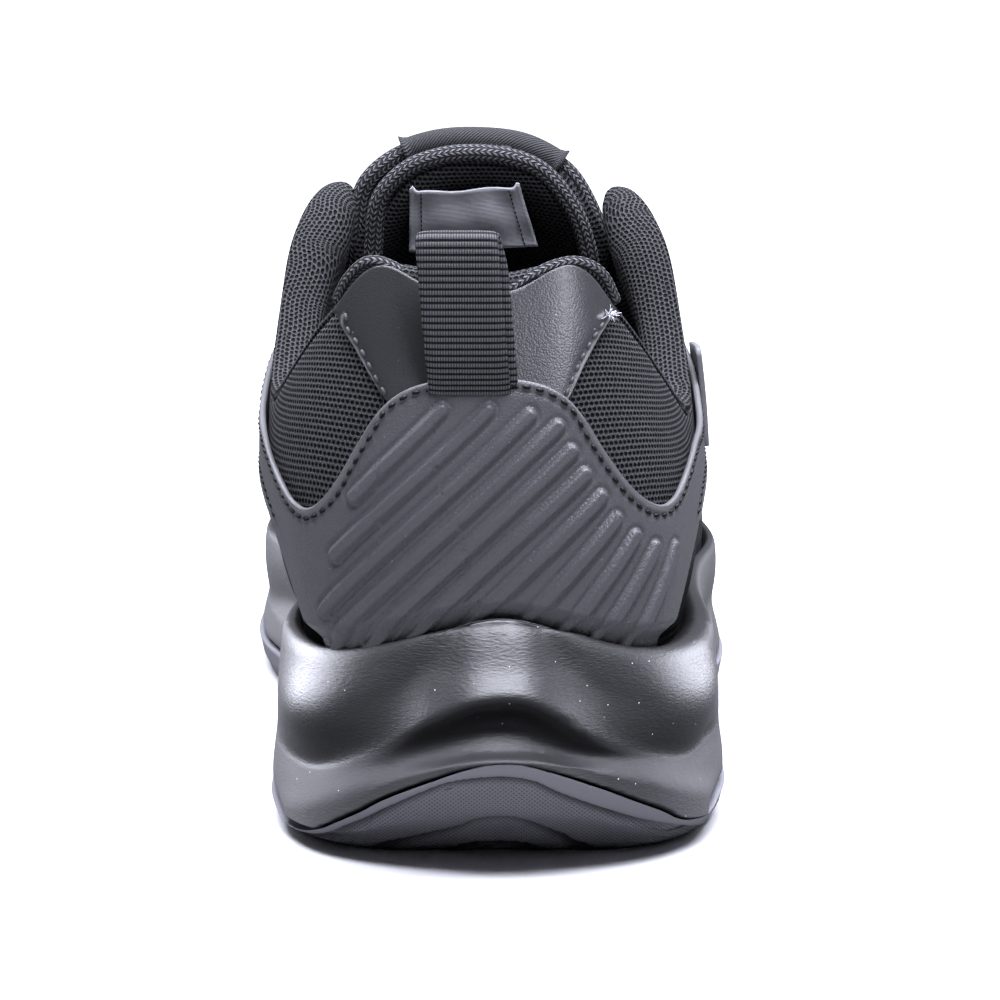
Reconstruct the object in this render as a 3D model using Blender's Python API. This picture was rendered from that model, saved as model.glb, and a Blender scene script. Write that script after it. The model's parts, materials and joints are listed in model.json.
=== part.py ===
"""A chunky low-cut trainer for the right foot.

Everything is worked out from one closed outline of the sole and one surface of the upper. `w` runs round the
shoe from the back of the heel (0), along the outer side to the toe tip (9) and back along the inner side (18).
`at` is the same station number on either side. Sizes are millimetres: +X outward, +Y to the toe, floor at Z = 0.
"""

from collections import namedtuple

import bmesh
import bpy
import numpy as np

# Driving sizes
MM = 0.001
GAP = 0.35
WALL = 2.2
TOE_AT = 9
ROUND = 2 * TOE_AT
CLOSED_AT = 6.0
RIB_STEPS = 8
RUBBER = 3.8
GROOVE = 2.2
RIM = 2.4
DISH = 1.5
TREAD_ACROSS = (0.07, 0.24, 0.41, 0.59, 0.76, 0.93)
TREAD_SWAY = 5.0
FULL_BEVEL = 12.0
BEVEL_CURVE = 1.6
FOLD_ABOVE = 6.0
FOLD_BELOW = 6.5
LEAN_FROM = 14.0
LEAN_RATE = 0.11
JOINT_GAP = 0.65
FOAM_LEVELS = (0.0, 0.14, 0.34, 0.6, 0.82, 0.95)
TUCK = 0.8
INSOLE = 4.0
INSOLE_EDGE = 1.0
INSOLE_ROUND = 1.2
INSOLE_GAP = 0.6
BLEND_FROM = 3.5
BLEND_OVER = 0.9
NUDGE = 0.03
COLLAR_ROLL = 2.6
LINING_GAP = 0.5
COLLAR_FRONT = 3.58
COUNTER_FRONT = 3.3
COUNTER_TURN = 1.1
COUNTER_ABOVE_LIP = 0.9
TAB_FRONT = 0.79
PANEL_TOP = 0.99
TOE_FRONT = 6.9
TOE_ABOVE_LIP = 0.6
STAY_BACK = 3.6
STAY_FRONT = 5.82
STAY_LIFT = 0.6
TAG_AT = (2.72, 3.12)
TAG_LOW = 71.0
TAG_HIGH = 91.0
TAG_THICK = 1.2
OVERLAY = 1.3
EYELET_RADIUS = 3.8
EYELET_BORE = 2.0
EYELET_RISE = 0.9
EYELET_BEVEL = 0.6
EYELET_STAND = 0.25
EYELET_DIP = 0.1
EYELET_AT = (4.4, 4.66, 4.92, 5.18, 5.44, 5.7)
EYELET_DOWN = 9.0
LACE_LIFT = 2.2
LACE_BOW = 2.9
LACE_OVER = 0.55
LACE_WIDTH = 6.5
LACE_THICK = 1.5
LOOP_WIDTH = 17.5
LOOP_THICK = 1.2
LOOP_FOOT = 94.9
LOOP_X = -4.6
LOOP_LEAN = -3.6 / 25.0
TONGUE_TAB_HALF = 2.55
TONGUE_TAB_THICK = 1.0
TONGUE_TAB_GAP = 0.6
TONGUE_TAB_DOWN = 4.0
TONGUE_TAB_FLARE = 1.7
LABEL_COLUMNS = (-2.75, 2.1)
LABEL_ROWS = (1.75, 2.95)
LABEL_LIFT = 0.15
LABEL_THICK = 0.7

# Stations of the cross rows: closer together round the heel and the toe
STATIONS = np.concatenate([np.arange(0, 2, 0.25), np.arange(6, 21) / 3, np.arange(7, 9.1, 0.25)])
ROWS = len(STATIONS) - 1

# Sole outline at its widest, a row for each station on both sides
Outline = namedtuple("Outline", "name at lat_x lat_y med_x med_y")
SOLE_OUTLINE = [
    Outline("heel_back", 0, 0.0, 0.0, 0.0, 0.0),
    Outline("heel_corner", 1, 33.0, 12.5, -33.0, 12.5),
    Outline("heel_side", 2, 45.5, 45.0, -45.5, 45.0),
    Outline("ankle", 3, 45.0, 84.0, -43.5, 82.0),
    Outline("waist", 4, 47.0, 122.0, -42.5, 118.0),
    Outline("instep", 5, 51.3, 158.0, -48.5, 155.0),
    Outline("ball", 6, 53.0, 193.0, -57.0, 195.0),
    Outline("fore", 7, 49.5, 231.0, -56.5, 235.0),
    Outline("toe_side", 7.5, 44.5, 251.0, -52.5, 255.0),
    Outline("toe_corner", 8, 35.5, 271.0, -45.5, 274.5),
    Outline("toe_turn", 8.5, 16.5, 292.0, -31.0, 292.0),
    Outline("toe_tip", 9, -9.0, 300.0, -9.0, 300.0),
]

# Round the sole: top of the rubber rim, fold in the foam's side, top of the foam, bevel under the rim,
# and how far in from the outline the upper stands
Height = namedtuple("Height", "at joint_lat joint_med fold depth lip bevel in_lat in_med")
SOLE_HEIGHTS = [
    Height(0, 21.8, 21.8, 26.5, 2.2, 46.0, 19.0, 6.5, 6.5),
    Height(0.5, 18.3, 16.6, 23.0, 2.8, 42.5, 17.0, 5.8, 5.2),
    Height(1, 12.3, 9.2, 19.5, 3.0, 40.0, 11.0, 6.6, 4.6),
    Height(1.5, 8.0, 5.6, 17.0, 2.4, 39.8, 6.0, 8.6, 6.2),
    Height(2, 6.6, 4.8, 16.8, 1.0, 40.0, 3.2, 9.2, 7.0),
    Height(3, 10.0, 10.0, 21.0, 1.6, 40.0, 3.0, 7.6, 6.0),
    Height(4, 13.5, 13.5, 21.0, 2.6, 38.5, 3.6, 6.0, 5.0),
    Height(5, 9.5, 9.5, 21.5, 2.4, 36.0, 3.0, 5.2, 4.8),
    Height(6, 7.6, 7.6, 16.5, 2.2, 33.5, 3.0, 5.2, 5.2),
    Height(7, 9.0, 9.0, 19.5, 2.4, 32.5, 4.0, 5.8, 5.8),
    Height(8, 14.5, 14.5, 23.0, 2.2, 34.5, 6.5, 7.0, 7.0),
    Height(9, 23.0, 23.0, 29.0, 1.6, 38.5, 11.0, 9.0, 9.0),
]

# Along the shoe: underside of the sole and the board that the foot stands over
Along = namedtuple("Along", "y tread board")
SOLE_ALONG = [
    Along(-20, 0.0, 33.0),
    Along(20, 0.0, 33.0),
    Along(75, 0.0, 32.0),
    Along(95, 1.8, 30.8),
    Along(120, 3.6, 29.0),
    Along(145, 1.8, 27.0),
    Along(165, 0.0, 25.6),
    Along(215, 0.0, 24.4),
    Along(245, 2.4, 25.2),
    Along(275, 7.0, 27.6),
    Along(310, 15.0, 31.5),
]

# Wavy steps up the rubber's bevel: share of its height, and how far each stands out
Step = namedtuple("Step", "share push")
RUBBER_STEPS = [Step(0.16, 0.6), Step(0.24, -0.5), Step(0.5, 0.5), Step(0.58, -0.5), Step(1.0, -0.1)]

# Edge of the collar, with the handle that each rib of the upper arrives along: outward and down
Topline = namedtuple("Topline", "name at lat_x lat_y lat_z med_x med_y med_z reach drop")
TOPLINE = [
    Topline("heel_dip", 0, -4.0, 9.5, 109.5, -4.0, 9.5, 109.5, 6.0, 24.0),
    Topline("dip_end", 0.27, 5.0, 9.8, 110.2, -13.0, 9.8, 110.2, 6.0, 24.0),
    Topline("heel_peak", 0.47, 12.8, 11.4, 113.0, -20.8, 11.4, 113.0, 6.5, 24.0),
    Topline("tab_corner", 0.8, 22.0, 17.5, 105.0, -30.5, 17.5, 105.0, 7.0, 21.0),
    Topline("ankle_back", 1.4, 33.0, 34.0, 88.5, -40.5, 33.0, 90.5, 5.0, 16.0),
    Topline("ankle_low", 2, 38.5, 51.0, 79.5, -45.0, 49.5, 82.5, 2.0, 13.0),
    Topline("ankle_front", 2.6, 38.5, 66.5, 88.0, -45.0, 64.0, 91.5, 2.0, 16.0),
    Topline("collar_rise", 3, 36.0, 79.0, 104.0, -43.0, 77.0, 106.5, 4.0, 22.0),
    Topline("collar_top", 3.5, 28.4, 93.0, 118.5, -36.0, 92.0, 119.5, 7.0, 24.0),
    Topline("throat_top", 4, 23.5, 108.0, 115.0, -31.0, 107.0, 116.0, 14.0, 20.0),
    Topline("throat", 4.5, 20.5, 124.0, 106.0, -28.0, 123.0, 107.0, 18.0, 16.0),
]

# Ridge of the front of the upper, its ribs' handles, and how far down each side of it the throat is cut away
Spine = namedtuple("Spine", "at x y z reach drop gap")
SPINE = [
    Spine(3, -3.0, 78.0, 139.0, 34.0, 6.0, 38.0),
    Spine(3.5, -3.2, 95.0, 130.5, 34.0, 4.0, 33.0),
    Spine(4, -3.5, 112.5, 121.0, 34.0, 3.0, 27.5),
    Spine(5, -4.0, 148.5, 101.0, 33.0, 2.0, 22.0),
    Spine(5.5, -4.2, 166.5, 90.5, 32.0, 1.0, 19.0),
    Spine(5.75, -4.4, 175.5, 85.4, 31.5, 0.6, 15.0),
    Spine(6, -4.5, 184.0, 81.0, 31.0, 0.3, 0.0),
    Spine(7, -6.0, 214.0, 68.0, 34.0, 0.0, 0.0),
    Spine(8, -8.0, 241.0, 60.5, 28.0, 0.0, 0.0),
    Spine(9, -9.0, 262.0, 55.5, 19.0, 0.0, 0.0),
]

# Handle of each rib where it leaves the sole: straight up and outward
Rib = namedtuple("Rib", "at rise lean_lat lean_med")
RIBS = [
    Rib(0, 24.0, 6.0, 6.0),
    Rib(1, 20.0, 5.0, 6.0),
    Rib(2, 15.0, 5.0, 6.5),
    Rib(3, 20.0, 4.0, 6.0),
    Rib(4, 24.0, 3.5, 5.0),
    Rib(5, 22.0, 3.0, 3.0),
    Rib(6, 20.0, 3.0, 3.0),
    Rib(7, 17.0, 3.5, 3.5),
    Rib(8, 15.0, 4.0, 4.0),
    Rib(9, 14.0, 5.0, 5.0),
]

# Tongue where it stands clear of the throat, as arches across the shoe, from its top edge down
Arch = namedtuple("Arch", "name x y crown half fall length thick")
ARCHES = [
    Arch("top", -3.4, 97.5, 133.0, 27.5, 29.0, 42.0, 5.0),
    Arch("roll", -3.4, 99.0, 130.0, 28.2, 28.5, 42.0, 7.5),
    Arch("stand", -3.4, 103.0, 124.5, 27.6, 27.0, 41.0, 7.5),
    Arch("collar", -3.6, 109.0, 118.0, 26.6, 26.5, 38.0, 7.0),
]

# Tongue under the throat and the vamp: station that a section follows, length each side of the ridge, thickness
Tongue = namedtuple("Tongue", "name at length thick")
TONGUE = [
    Tongue("upper_throat", 4.4, 36.0, 6.5),
    Tongue("mid_throat", 4.9, 33.0, 6.0),
    Tongue("low_throat", 5.4, 28.0, 5.0),
    Tongue("throat_end", 5.75, 25.0, 4.5),
    Tongue("vamp", 6.1, 23.0, 4.0),
    Tongue("end", 6.4, 22.0, 3.0),
]
TONGUE_COLUMNS = 13
TONGUE_UNDER = 1.6

# Upper and lower edge of the heel counter
Edge = namedtuple("Edge", "at lat_high med_high lat_low med_low")
COUNTER = [
    Edge(0, 93.7, 93.7, 46.8, 46.8),
    Edge(0.2, 93.2, 93.0, 45.9, 45.9),
    Edge(0.36, 91.6, 91.6, 44.4, 44.4),
    Edge(0.45, 88.8, 89.4, 43.6, 43.6),
    Edge(0.55, 82.0, 85.0, 42.8, 42.8),
    Edge(0.7, 74.2, 76.8, 41.7, 41.7),
    Edge(0.85, 69.5, 70.4, 40.9, 40.9),
    Edge(1.0, 67.8, 67.4, 40.6, 40.6),
    Edge(1.15, 69.0, 68.6, 43.6, 42.0),
    Edge(1.4, 73.4, 74.0, 53.0, 56.0),
    Edge(1.7, 76.6, 78.0, 64.0, 66.0),
    Edge(2.1, 77.6, 80.0, 68.0, 69.5),
    Edge(2.7, 84.0, 86.0, 71.5, 73.0),
    Edge(3.3, 92.0, 94.0, 76.0, 77.5),
]

# Lower edge of the heel tab, whose upper edge is the topline
TAB_LOW = [
    Edge(0, 0, 0, 94.6, 94.6),
    Edge(0.2, 0, 0, 94.1, 94.1),
    Edge(0.36, 0, 0, 92.6, 92.6),
    Edge(0.46, 0, 0, 91.2, 91.0),
    Edge(0.54, 0, 0, 96.6, 93.8),
    Edge(0.62, 0, 0, 100.2, 98.6),
    Edge(0.72, 0, 0, 103.0, 102.0),
    Edge(0.79, 0, 0, 104.4, 104.2),
]

# Upper edge of the toe cap
TOE_EDGE = [
    Edge(6.9, 38.5, 38.5, 0, 0),
    Edge(7.4, 45.0, 45.0, 0, 0),
    Edge(8, 48.5, 48.5, 0, 0),
    Edge(9, 49.5, 49.5, 0, 0),
]

# Collar lining: station, thickness of the pad; then depth below the edge, share of the pad that is left there
LINING_PAD = [(0, 6.0), (0.6, 7.0), (2.4, 6.5), (3.3, 3.5), (COLLAR_FRONT, 1.4)]
LINING_CLEAR = [(2.5, LINING_GAP), (3.3, LINING_GAP + 0.6), (COLLAR_FRONT, LINING_GAP + 0.9)]
LINING_SWELL = [(5.0, 1.0), (14.0, 1.0), (26.0, 0.75), (38.0, 0.2)]

# Pull loop, up the inner layer, over the fold and down: distance behind its foot, and height
LOOP_INNER = [(-1.0, 94.9), (-1.08, 98.9), (-1.18, 103.9), (-1.28, 108.9), (-1.38, 113.9), (-1.47, 118.4)]
LOOP_FOLD = [(-2.47, 120.2), (-4.17, 120.6), (-5.67, 119.0)]
LOOP_OUTER = [(-4.6, 113.0), (-4.2, 106.0), (-3.6, 100.0), (-3.1, 94.9)]

Skin = namedtuple("Skin", "colour rough metal")
SKINS = {
    "rubber": Skin((0.14, 0.14, 0.155, 1), 0.6, 0),
    "foam": Skin((0.018, 0.018, 0.019, 1), 0.45, 0),
    "mesh": Skin((0.03, 0.03, 0.032, 1), 0.9, 0),
    "grain": Skin((0.07, 0.07, 0.075, 1), 0.5, 0),
    "knit": Skin((0.035, 0.035, 0.038, 1), 0.95, 0),
    "webbing": Skin((0.05, 0.05, 0.053, 1), 0.8, 0),
    "label": Skin((0.4, 0.4, 0.42, 1), 0.85, 0),
    "tag": Skin((0.22, 0.22, 0.22, 1), 0.7, 0),
    "eyelet": Skin((0.03, 0.03, 0.03, 1), 0.4, 0),
}


def spline(knots, values, at):
    """Smooth curve through `values` at `knots`, read at `at`."""
    knots = np.asarray(knots, float)
    values = np.asarray(values, float)
    at = np.asarray(at, float)
    step = np.diff(knots)
    grade = np.diff(values) / step
    slope = np.concatenate([grade[:1], grade])
    slope[1:-1] = (step[:-1] * grade[1:] + step[1:] * grade[:-1]) / (step[:-1] + step[1:])
    i = np.clip(np.searchsorted(knots, at, side="right") - 1, 0, len(step) - 1)
    t = np.clip((at - knots[i]) / step[i], 0, 1)
    start = (1 + 2 * t) * (1 - t) ** 2 * values[i] + t * (1 - t) ** 2 * step[i] * slope[i]
    end = t * t * (3 - 2 * t) * values[i + 1] - t * t * (1 - t) * step[i] * slope[i + 1]
    return start + end


def around(table, lateral, medial):
    """A pair of columns of a station table as one closed function of `w`."""
    outer = [(row.at, getattr(row, lateral)) for row in table]
    inner = [(ROUND - row.at, getattr(row, medial)) for row in reversed(table) if 0 < row.at < TOE_AT]
    once = outer + inner
    before = [(at - ROUND, value) for at, value in once[-3:]]
    after = [(at + ROUND, value) for at, value in once[:3]]
    knots, values = zip(*(before + once + after))
    return lambda w: spline(knots, values, np.mod(w, ROUND))


def along(column):
    knots = [row.y for row in SOLE_ALONG]
    values = [getattr(row, column) for row in SOLE_ALONG]
    return lambda y: np.maximum(spline(knots, values, y), 0.0)


def station(w):
    """Station number, the same on both sides."""
    w = np.mod(w, ROUND)
    return np.minimum(w, ROUND - w)


SOLE_X = around(SOLE_OUTLINE, "lat_x", "med_x")
SOLE_Y = around(SOLE_OUTLINE, "lat_y", "med_y")
JOINT = around(SOLE_HEIGHTS, "joint_lat", "joint_med")
FOLD = around(SOLE_HEIGHTS, "fold", "fold")
FOLD_DEPTH = around(SOLE_HEIGHTS, "depth", "depth")
LIP = around(SOLE_HEIGHTS, "lip", "lip")
BEVEL = around(SOLE_HEIGHTS, "bevel", "bevel")
BITE_IN = around(SOLE_HEIGHTS, "in_lat", "in_med")
TREAD = along("tread")
BOARD = along("board")
TOP = [around(TOPLINE, "lat_" + axis, "med_" + axis) for axis in "xyz"]
TOP_REACH = around(TOPLINE, "reach", "reach")
TOP_DROP = around(TOPLINE, "drop", "drop")
RIDGE = [around(SPINE, axis, axis) for axis in "xyz"]
RIDGE_REACH = around(SPINE, "reach", "reach")
RIDGE_DROP = around(SPINE, "drop", "drop")
THROAT_GAP = around(SPINE, "gap", "gap")
RISE = around(RIBS, "rise", "rise")
LEAN = around(RIBS, "lean_lat", "lean_med")
LOOP = np.concatenate([STATIONS, ROUND - STATIONS[-2:0:-1]])
UP = np.array([0.0, 0.0, 1.0])


def plan_normal(w):
    step = 0.04
    way = np.stack([SOLE_X(w + step) - SOLE_X(w - step), SOLE_Y(w + step) - SOLE_Y(w - step)], -1)
    way /= np.linalg.norm(way, axis=-1, keepdims=True)
    return np.stack([way[..., 1], -way[..., 0], np.zeros_like(way[..., 0])], -1)


def ring(w, offset, z):
    """The sole outline moved outward by `offset`, at height `z`."""
    w = np.asarray(w, float)
    flat = np.stack([SOLE_X(w), SOLE_Y(w), np.zeros_like(w)], -1)
    moved = flat + plan_normal(w) * np.broadcast_to(offset, w.shape)[..., None]
    moved[..., 2] = z
    return moved


def ring_on(w, offset, height):
    """The same, at a height that depends on how far along the shoe each point is."""
    flat = ring(w, offset, 0.0)
    flat[..., 2] = height(flat[..., 1])
    return flat


def bezier(one, two, three, four, v):
    v = v[..., None]
    return (1 - v) ** 3 * one + 3 * v * (1 - v) ** 2 * two + 3 * v * v * (1 - v) * three + v**3 * four


def ridge_rib(w, v):
    """A rib that runs from the sole to the ridge, as if there were no throat."""
    out = plan_normal(w)
    foot = ring(w, -BITE_IN(w), LIP(w))
    near_foot = foot + out * LEAN(w)[..., None] + UP * RISE(w)[..., None]
    ridge = np.stack([column(w) for column in RIDGE], -1)
    near_ridge = ridge + out * RIDGE_REACH(w)[..., None] - UP * RIDGE_DROP(w)[..., None]
    return bezier(foot, near_foot, near_ridge, ridge, v)


def collar_rib(w, v):
    """A rib that runs from the sole to the collar's edge."""
    out = plan_normal(w)
    foot = ring(w, -BITE_IN(w), LIP(w))
    near_foot = foot + out * LEAN(w)[..., None] + UP * RISE(w)[..., None]
    edge = np.stack([column(w) for column in TOP], -1)
    near_edge = edge + out * TOP_REACH(w)[..., None] - UP * TOP_DROP(w)[..., None]
    return bezier(foot, near_foot, near_edge, edge, v)


def throat_cut(w):
    """How far up a ridge rib the throat's edge cuts it off."""
    steps = np.linspace(0, 1, 61)
    points = ridge_rib(w[..., None] + 0 * steps, steps + 0 * w[..., None])
    lengths = np.linalg.norm(np.diff(points, axis=-2), axis=-1)
    left = np.concatenate([np.cumsum(lengths[..., ::-1], -1)[..., ::-1], np.zeros(w.shape + (1,))], -1)
    gap = np.where(station(w) >= CLOSED_AT, 0.0, THROAT_GAP(w))
    flat = [np.interp(-cut, -row, steps) for cut, row in zip(gap.ravel(), left.reshape(-1, len(steps)))]
    return np.array(flat).reshape(w.shape)


CUT_AT = np.arange(0, ROUND + 0.03, 0.03125)
CUT = throat_cut(CUT_AT)


def upper_point(w, v):
    """Outer face of the upper, from the sole (v = 0) to its edge or ridge (v = 1)."""
    w, v = np.broadcast_arrays(np.asarray(w, float), np.asarray(v, float))
    at = station(w)
    mix = np.clip((at - BLEND_FROM) / BLEND_OVER, 0, 1)
    mix = (mix * mix * (3 - 2 * mix))[..., None]
    cut = np.interp(np.mod(w, ROUND), CUT_AT, CUT)
    return (1 - mix) * collar_rib(w, v) + mix * ridge_rib(w, v * cut)


def upper_normal(w, v):
    w, v = np.broadcast_arrays(np.asarray(w, float), np.asarray(v, float))
    v = np.clip(v, NUDGE, 1 - NUDGE)
    # Differences stay on one side of the throat's end, where the edge jumps to the ridge
    closed = station(w) >= CLOSED_AT
    ahead = w + NUDGE
    behind = w - NUDGE
    ahead = np.where((station(ahead) >= CLOSED_AT) == closed, ahead, w)
    behind = np.where((station(behind) >= CLOSED_AT) == closed, behind, w)
    found = np.cross(
        upper_point(ahead, v) - upper_point(behind, v), upper_point(w, v + NUDGE) - upper_point(w, v - NUDGE)
    )
    return found / np.linalg.norm(found, axis=-1, keepdims=True)


def ridge_normal(w):
    """At the ridge both sides share one direction."""
    both = upper_normal(w, 1.0) + upper_normal(ROUND - np.asarray(w, float), 1.0)
    return both / np.linalg.norm(both, axis=-1, keepdims=True)


def v_at_height(w, z):
    """How far up each rib a height is met."""
    steps = np.linspace(0, 1, 81)
    w, z = np.broadcast_arrays(np.asarray(w, float), np.asarray(z, float))
    heights = upper_point(w[:, None], steps[None, :])[..., 2]
    return np.array([np.interp(level, row, steps) for level, row in zip(z, np.maximum.accumulate(heights, 1))])


def v_below_edge(w, distance):
    """How far up each rib a point lies that is `distance` below the edge, measured along the rib."""
    steps = np.linspace(0, 1, 81)
    w, distance = np.broadcast_arrays(np.asarray(w, float), np.asarray(distance, float))
    points = upper_point(w[:, None], steps[None, :])
    lengths = np.linalg.norm(np.diff(points, axis=1), axis=-1)
    run = np.concatenate([np.zeros((len(w), 1)), np.cumsum(lengths, 1)], 1)
    return np.array([np.interp(row[-1] - away, row, steps) for away, row in zip(distance, run)])


def off_upper(w, v, distance):
    """A point that far outside the upper's outer face."""
    return upper_point(w, v) + upper_normal(w, v) * np.asarray(distance, float)[..., None]


def add_ring(bm, points):
    return [bm.verts.new(point) for point in np.asarray(points) * MM]


def skin_rings(bm, one, other, closed=True):
    """Quads between two rows of vertices."""
    count = len(one)
    for i in range(count if closed else count - 1):
        j = (i + 1) % count
        bm.faces.new((one[i], one[j], other[j], other[i]))


def fill_ladder(bm, verts, across, height, sway=None):
    """Fills a ring round the shoe with cross rows. Returns the faces of each row, from heel to toe."""
    fractions = np.asarray(across)
    rows = []
    for i in range(1, ROWS):
        outer = np.array(verts[i].co) / MM
        inner = np.array(verts[2 * ROWS - i].co) / MM
        points = outer + (inner - outer) * fractions[:, None]
        if sway is not None:
            points[:, 1] += sway(fractions) * min(1.0, i / 6, (ROWS - i) / 6)
        points[:, 2] = height(points[:, 1])
        rows.append([verts[i]] + add_ring(bm, points) + [verts[2 * ROWS - i]])
    faces = []
    faces.append([bm.faces.new((verts[0], a, b)) for a, b in zip(rows[0], rows[0][1:])])
    for one, other in zip(rows, rows[1:]):
        quads = zip(one, one[1:], other[1:], other)
        faces.append([bm.faces.new(quad) for quad in quads])
    faces.append([bm.faces.new((verts[ROWS], b, a)) for a, b in zip(rows[-1], rows[-1][1:])])
    return faces


def finish(bm, name, skin):
    """Closes off one solid: welds, turns its faces outward and gives it a material."""
    bmesh.ops.remove_doubles(bm, verts=bm.verts, dist=1e-5)
    bmesh.ops.recalc_face_normals(bm, faces=bm.faces)
    if bm.calc_volume(signed=True) < 0:
        bmesh.ops.reverse_faces(bm, faces=bm.faces)
    mesh = bpy.data.meshes.new(name)
    bm.to_mesh(mesh)
    bm.free()
    return place(name, mesh, skin)


def place(name, mesh, skin):
    solid = bpy.data.objects.new(name, mesh)
    bpy.context.scene.collection.objects.link(solid)
    if skin not in bpy.data.materials:
        material = bpy.data.materials.new(skin)
        material.use_nodes = True
        shader = material.node_tree.nodes["Principled BSDF"]
        shader.inputs["Base Color"].default_value = SKINS[skin].colour
        shader.inputs["Roughness"].default_value = SKINS[skin].rough
        shader.inputs["Metallic"].default_value = SKINS[skin].metal
    mesh.materials.clear()
    mesh.materials.append(bpy.data.materials[skin])
    return solid


def stack_rings(bm, rings):
    """Adds each ring of points and joins it to the one before."""
    rows = [add_ring(bm, points) for points in rings]
    for one, other in zip(rows, rows[1:]):
        skin_rings(bm, one, other)
    return rows


def outsole():
    """Rubber: stepped bevel up to the rim, dished top, wavy grooves across its underside."""
    bm = bmesh.new()
    bevel = BEVEL(LOOP)
    ground = ring_on(LOOP, -bevel, TREAD)
    joint = JOINT(LOOP)
    scale = np.clip(bevel / FULL_BEVEL, 0.25, 1)
    rings = [ground]
    for step in RUBBER_STEPS:
        inward = bevel * (1 - step.share) ** BEVEL_CURVE
        rings.append(ring(LOOP, step.push * scale - inward, ground[:, 2] + step.share * (joint - ground[:, 2])))
    rings.append(ring(LOOP, -RIM, joint))
    rings.append(ring_on(LOOP, -(bevel + DISH), lambda y: TREAD(y) + RUBBER))
    rows = stack_rings(bm, rings)
    fill_ladder(bm, rows[-1], (0.5,), lambda y: TREAD(y) + RUBBER)
    treads = fill_ladder(
        bm, rows[0], TREAD_ACROSS, TREAD, lambda c: TREAD_SWAY * (np.sin(np.pi * c) ** 2 - 0.5)
    )
    for row in treads[2:-2:2]:
        grooves = row[1:-1]
        deep = bmesh.ops.extrude_face_region(bm, geom=grooves)
        raised = [item for item in deep["geom"] if isinstance(item, bmesh.types.BMVert)]
        bmesh.ops.translate(bm, verts=raised, vec=(0, 0, GROOVE * MM))
        bmesh.ops.delete(bm, geom=grooves, context="FACES_ONLY")
    return finish(bm, "outsole", "rubber")


def foam_offset(w, z):
    """How far the foam's side stands out of the outline: a fold with a roll over it."""
    from_fold = z - FOLD(w)
    fold = np.exp(-((from_fold / np.where(from_fold > 0, FOLD_ABOVE, FOLD_BELOW)) ** 2))
    lean = np.clip(z - LEAN_FROM, 0, None) * LEAN_RATE
    return -FOLD_DEPTH(w) * fold - lean


def midsole():
    """Foam: dished underside on the rubber, sculpted side, cup that holds the upper's foot."""
    bm = bmesh.new()
    joint = JOINT(LOOP) + JOINT_GAP
    fold = FOLD(LOOP)
    lip = LIP(LOOP)
    rings = [
        ring_on(LOOP, -(BEVEL(LOOP) + DISH + GAP), lambda y: TREAD(y) + RUBBER + GAP),
        ring(LOOP, -(RIM + GAP), joint),
    ]
    levels = [joint + (fold - joint) * share for share in (0.0, 0.6)]
    levels += [fold + (lip - fold) * share for share in FOAM_LEVELS]
    rings += [ring(LOOP, foam_offset(LOOP, z), z) for z in levels]
    bite = BITE_IN(LOOP)
    rings.append(ring(LOOP, foam_offset(LOOP, lip) - 0.35 * (bite - 2.0), lip + 0.2))
    rings.append(ring(LOOP, GAP - bite, lip))
    rings.append(ring_on(LOOP, GAP - bite - TUCK, BOARD))
    rows = stack_rings(bm, rings)
    fill_ladder(bm, rows[0], (0.5,), lambda y: TREAD(y) + RUBBER + GAP)
    fill_ladder(bm, rows[-1], (0.5,), BOARD)
    return finish(bm, "midsole", "foam")


def insole():
    """Footbed inside the upper, on the midsole's board."""
    bm = bmesh.new()
    inset = -(BITE_IN(LOOP) + TUCK + WALL + INSOLE_GAP)
    low = ring_on(LOOP, inset, lambda y: BOARD(y) + GAP)
    mid = ring_on(LOOP, inset, lambda y: BOARD(y) + INSOLE - INSOLE_EDGE)
    top = ring_on(LOOP, inset - INSOLE_ROUND, lambda y: BOARD(y) + INSOLE)
    rows = stack_rings(bm, [low, mid, top])
    fill_ladder(bm, rows[0], (0.5,), lambda y: BOARD(y) + GAP)
    fill_ladder(bm, rows[-1], (0.5,), lambda y: BOARD(y) + INSOLE)
    return finish(bm, "insole", "knit")


def upper():
    """Hollow shell of one wall, open at the collar, down the throat and underneath."""
    bm = bmesh.new()
    closed = station(LOOP) >= CLOSED_AT
    foot = ring_on(LOOP, -BITE_IN(LOOP) - TUCK, lambda y: BOARD(y) + GAP)
    outer = [add_ring(bm, foot)]
    inner = [add_ring(bm, foot - plan_normal(LOOP) * WALL)]
    for v in np.linspace(0, 1, RIB_STEPS + 1):
        face = upper_point(LOOP, v)
        way = upper_normal(LOOP, v)
        if v == 0:
            way = plan_normal(LOOP)
        if v == 1:
            way = np.where(closed[:, None], ridge_normal(LOOP), way)
        outer.append(add_ring(bm, face))
        inner.append(add_ring(bm, face - way * WALL))
    for rows in (outer, inner):
        for one, other in zip(rows, rows[1:]):
            skin_rings(bm, one, other)
    skin_rings(bm, outer[0], inner[0])
    for i in range(2 * ROWS):
        j = (i + 1) % (2 * ROWS)
        if not (closed[i] and closed[j]):
            bm.faces.new((outer[-1][i], outer[-1][j], inner[-1][j], inner[-1][i]))
    return finish(bm, "upper", "mesh")


def loft(name, skin, sections):
    """A closed solid through a row of closed sections, with both ends filled."""
    bm = bmesh.new()
    rows = stack_rings(bm, sections)
    half = len(rows[0]) // 2
    for row in (rows[0], rows[-1]):
        for i in range(half - 1):
            bm.faces.new((row[i], row[i + 1], row[-2 - i], row[-1 - i]))
    return finish(bm, name, skin)


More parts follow.
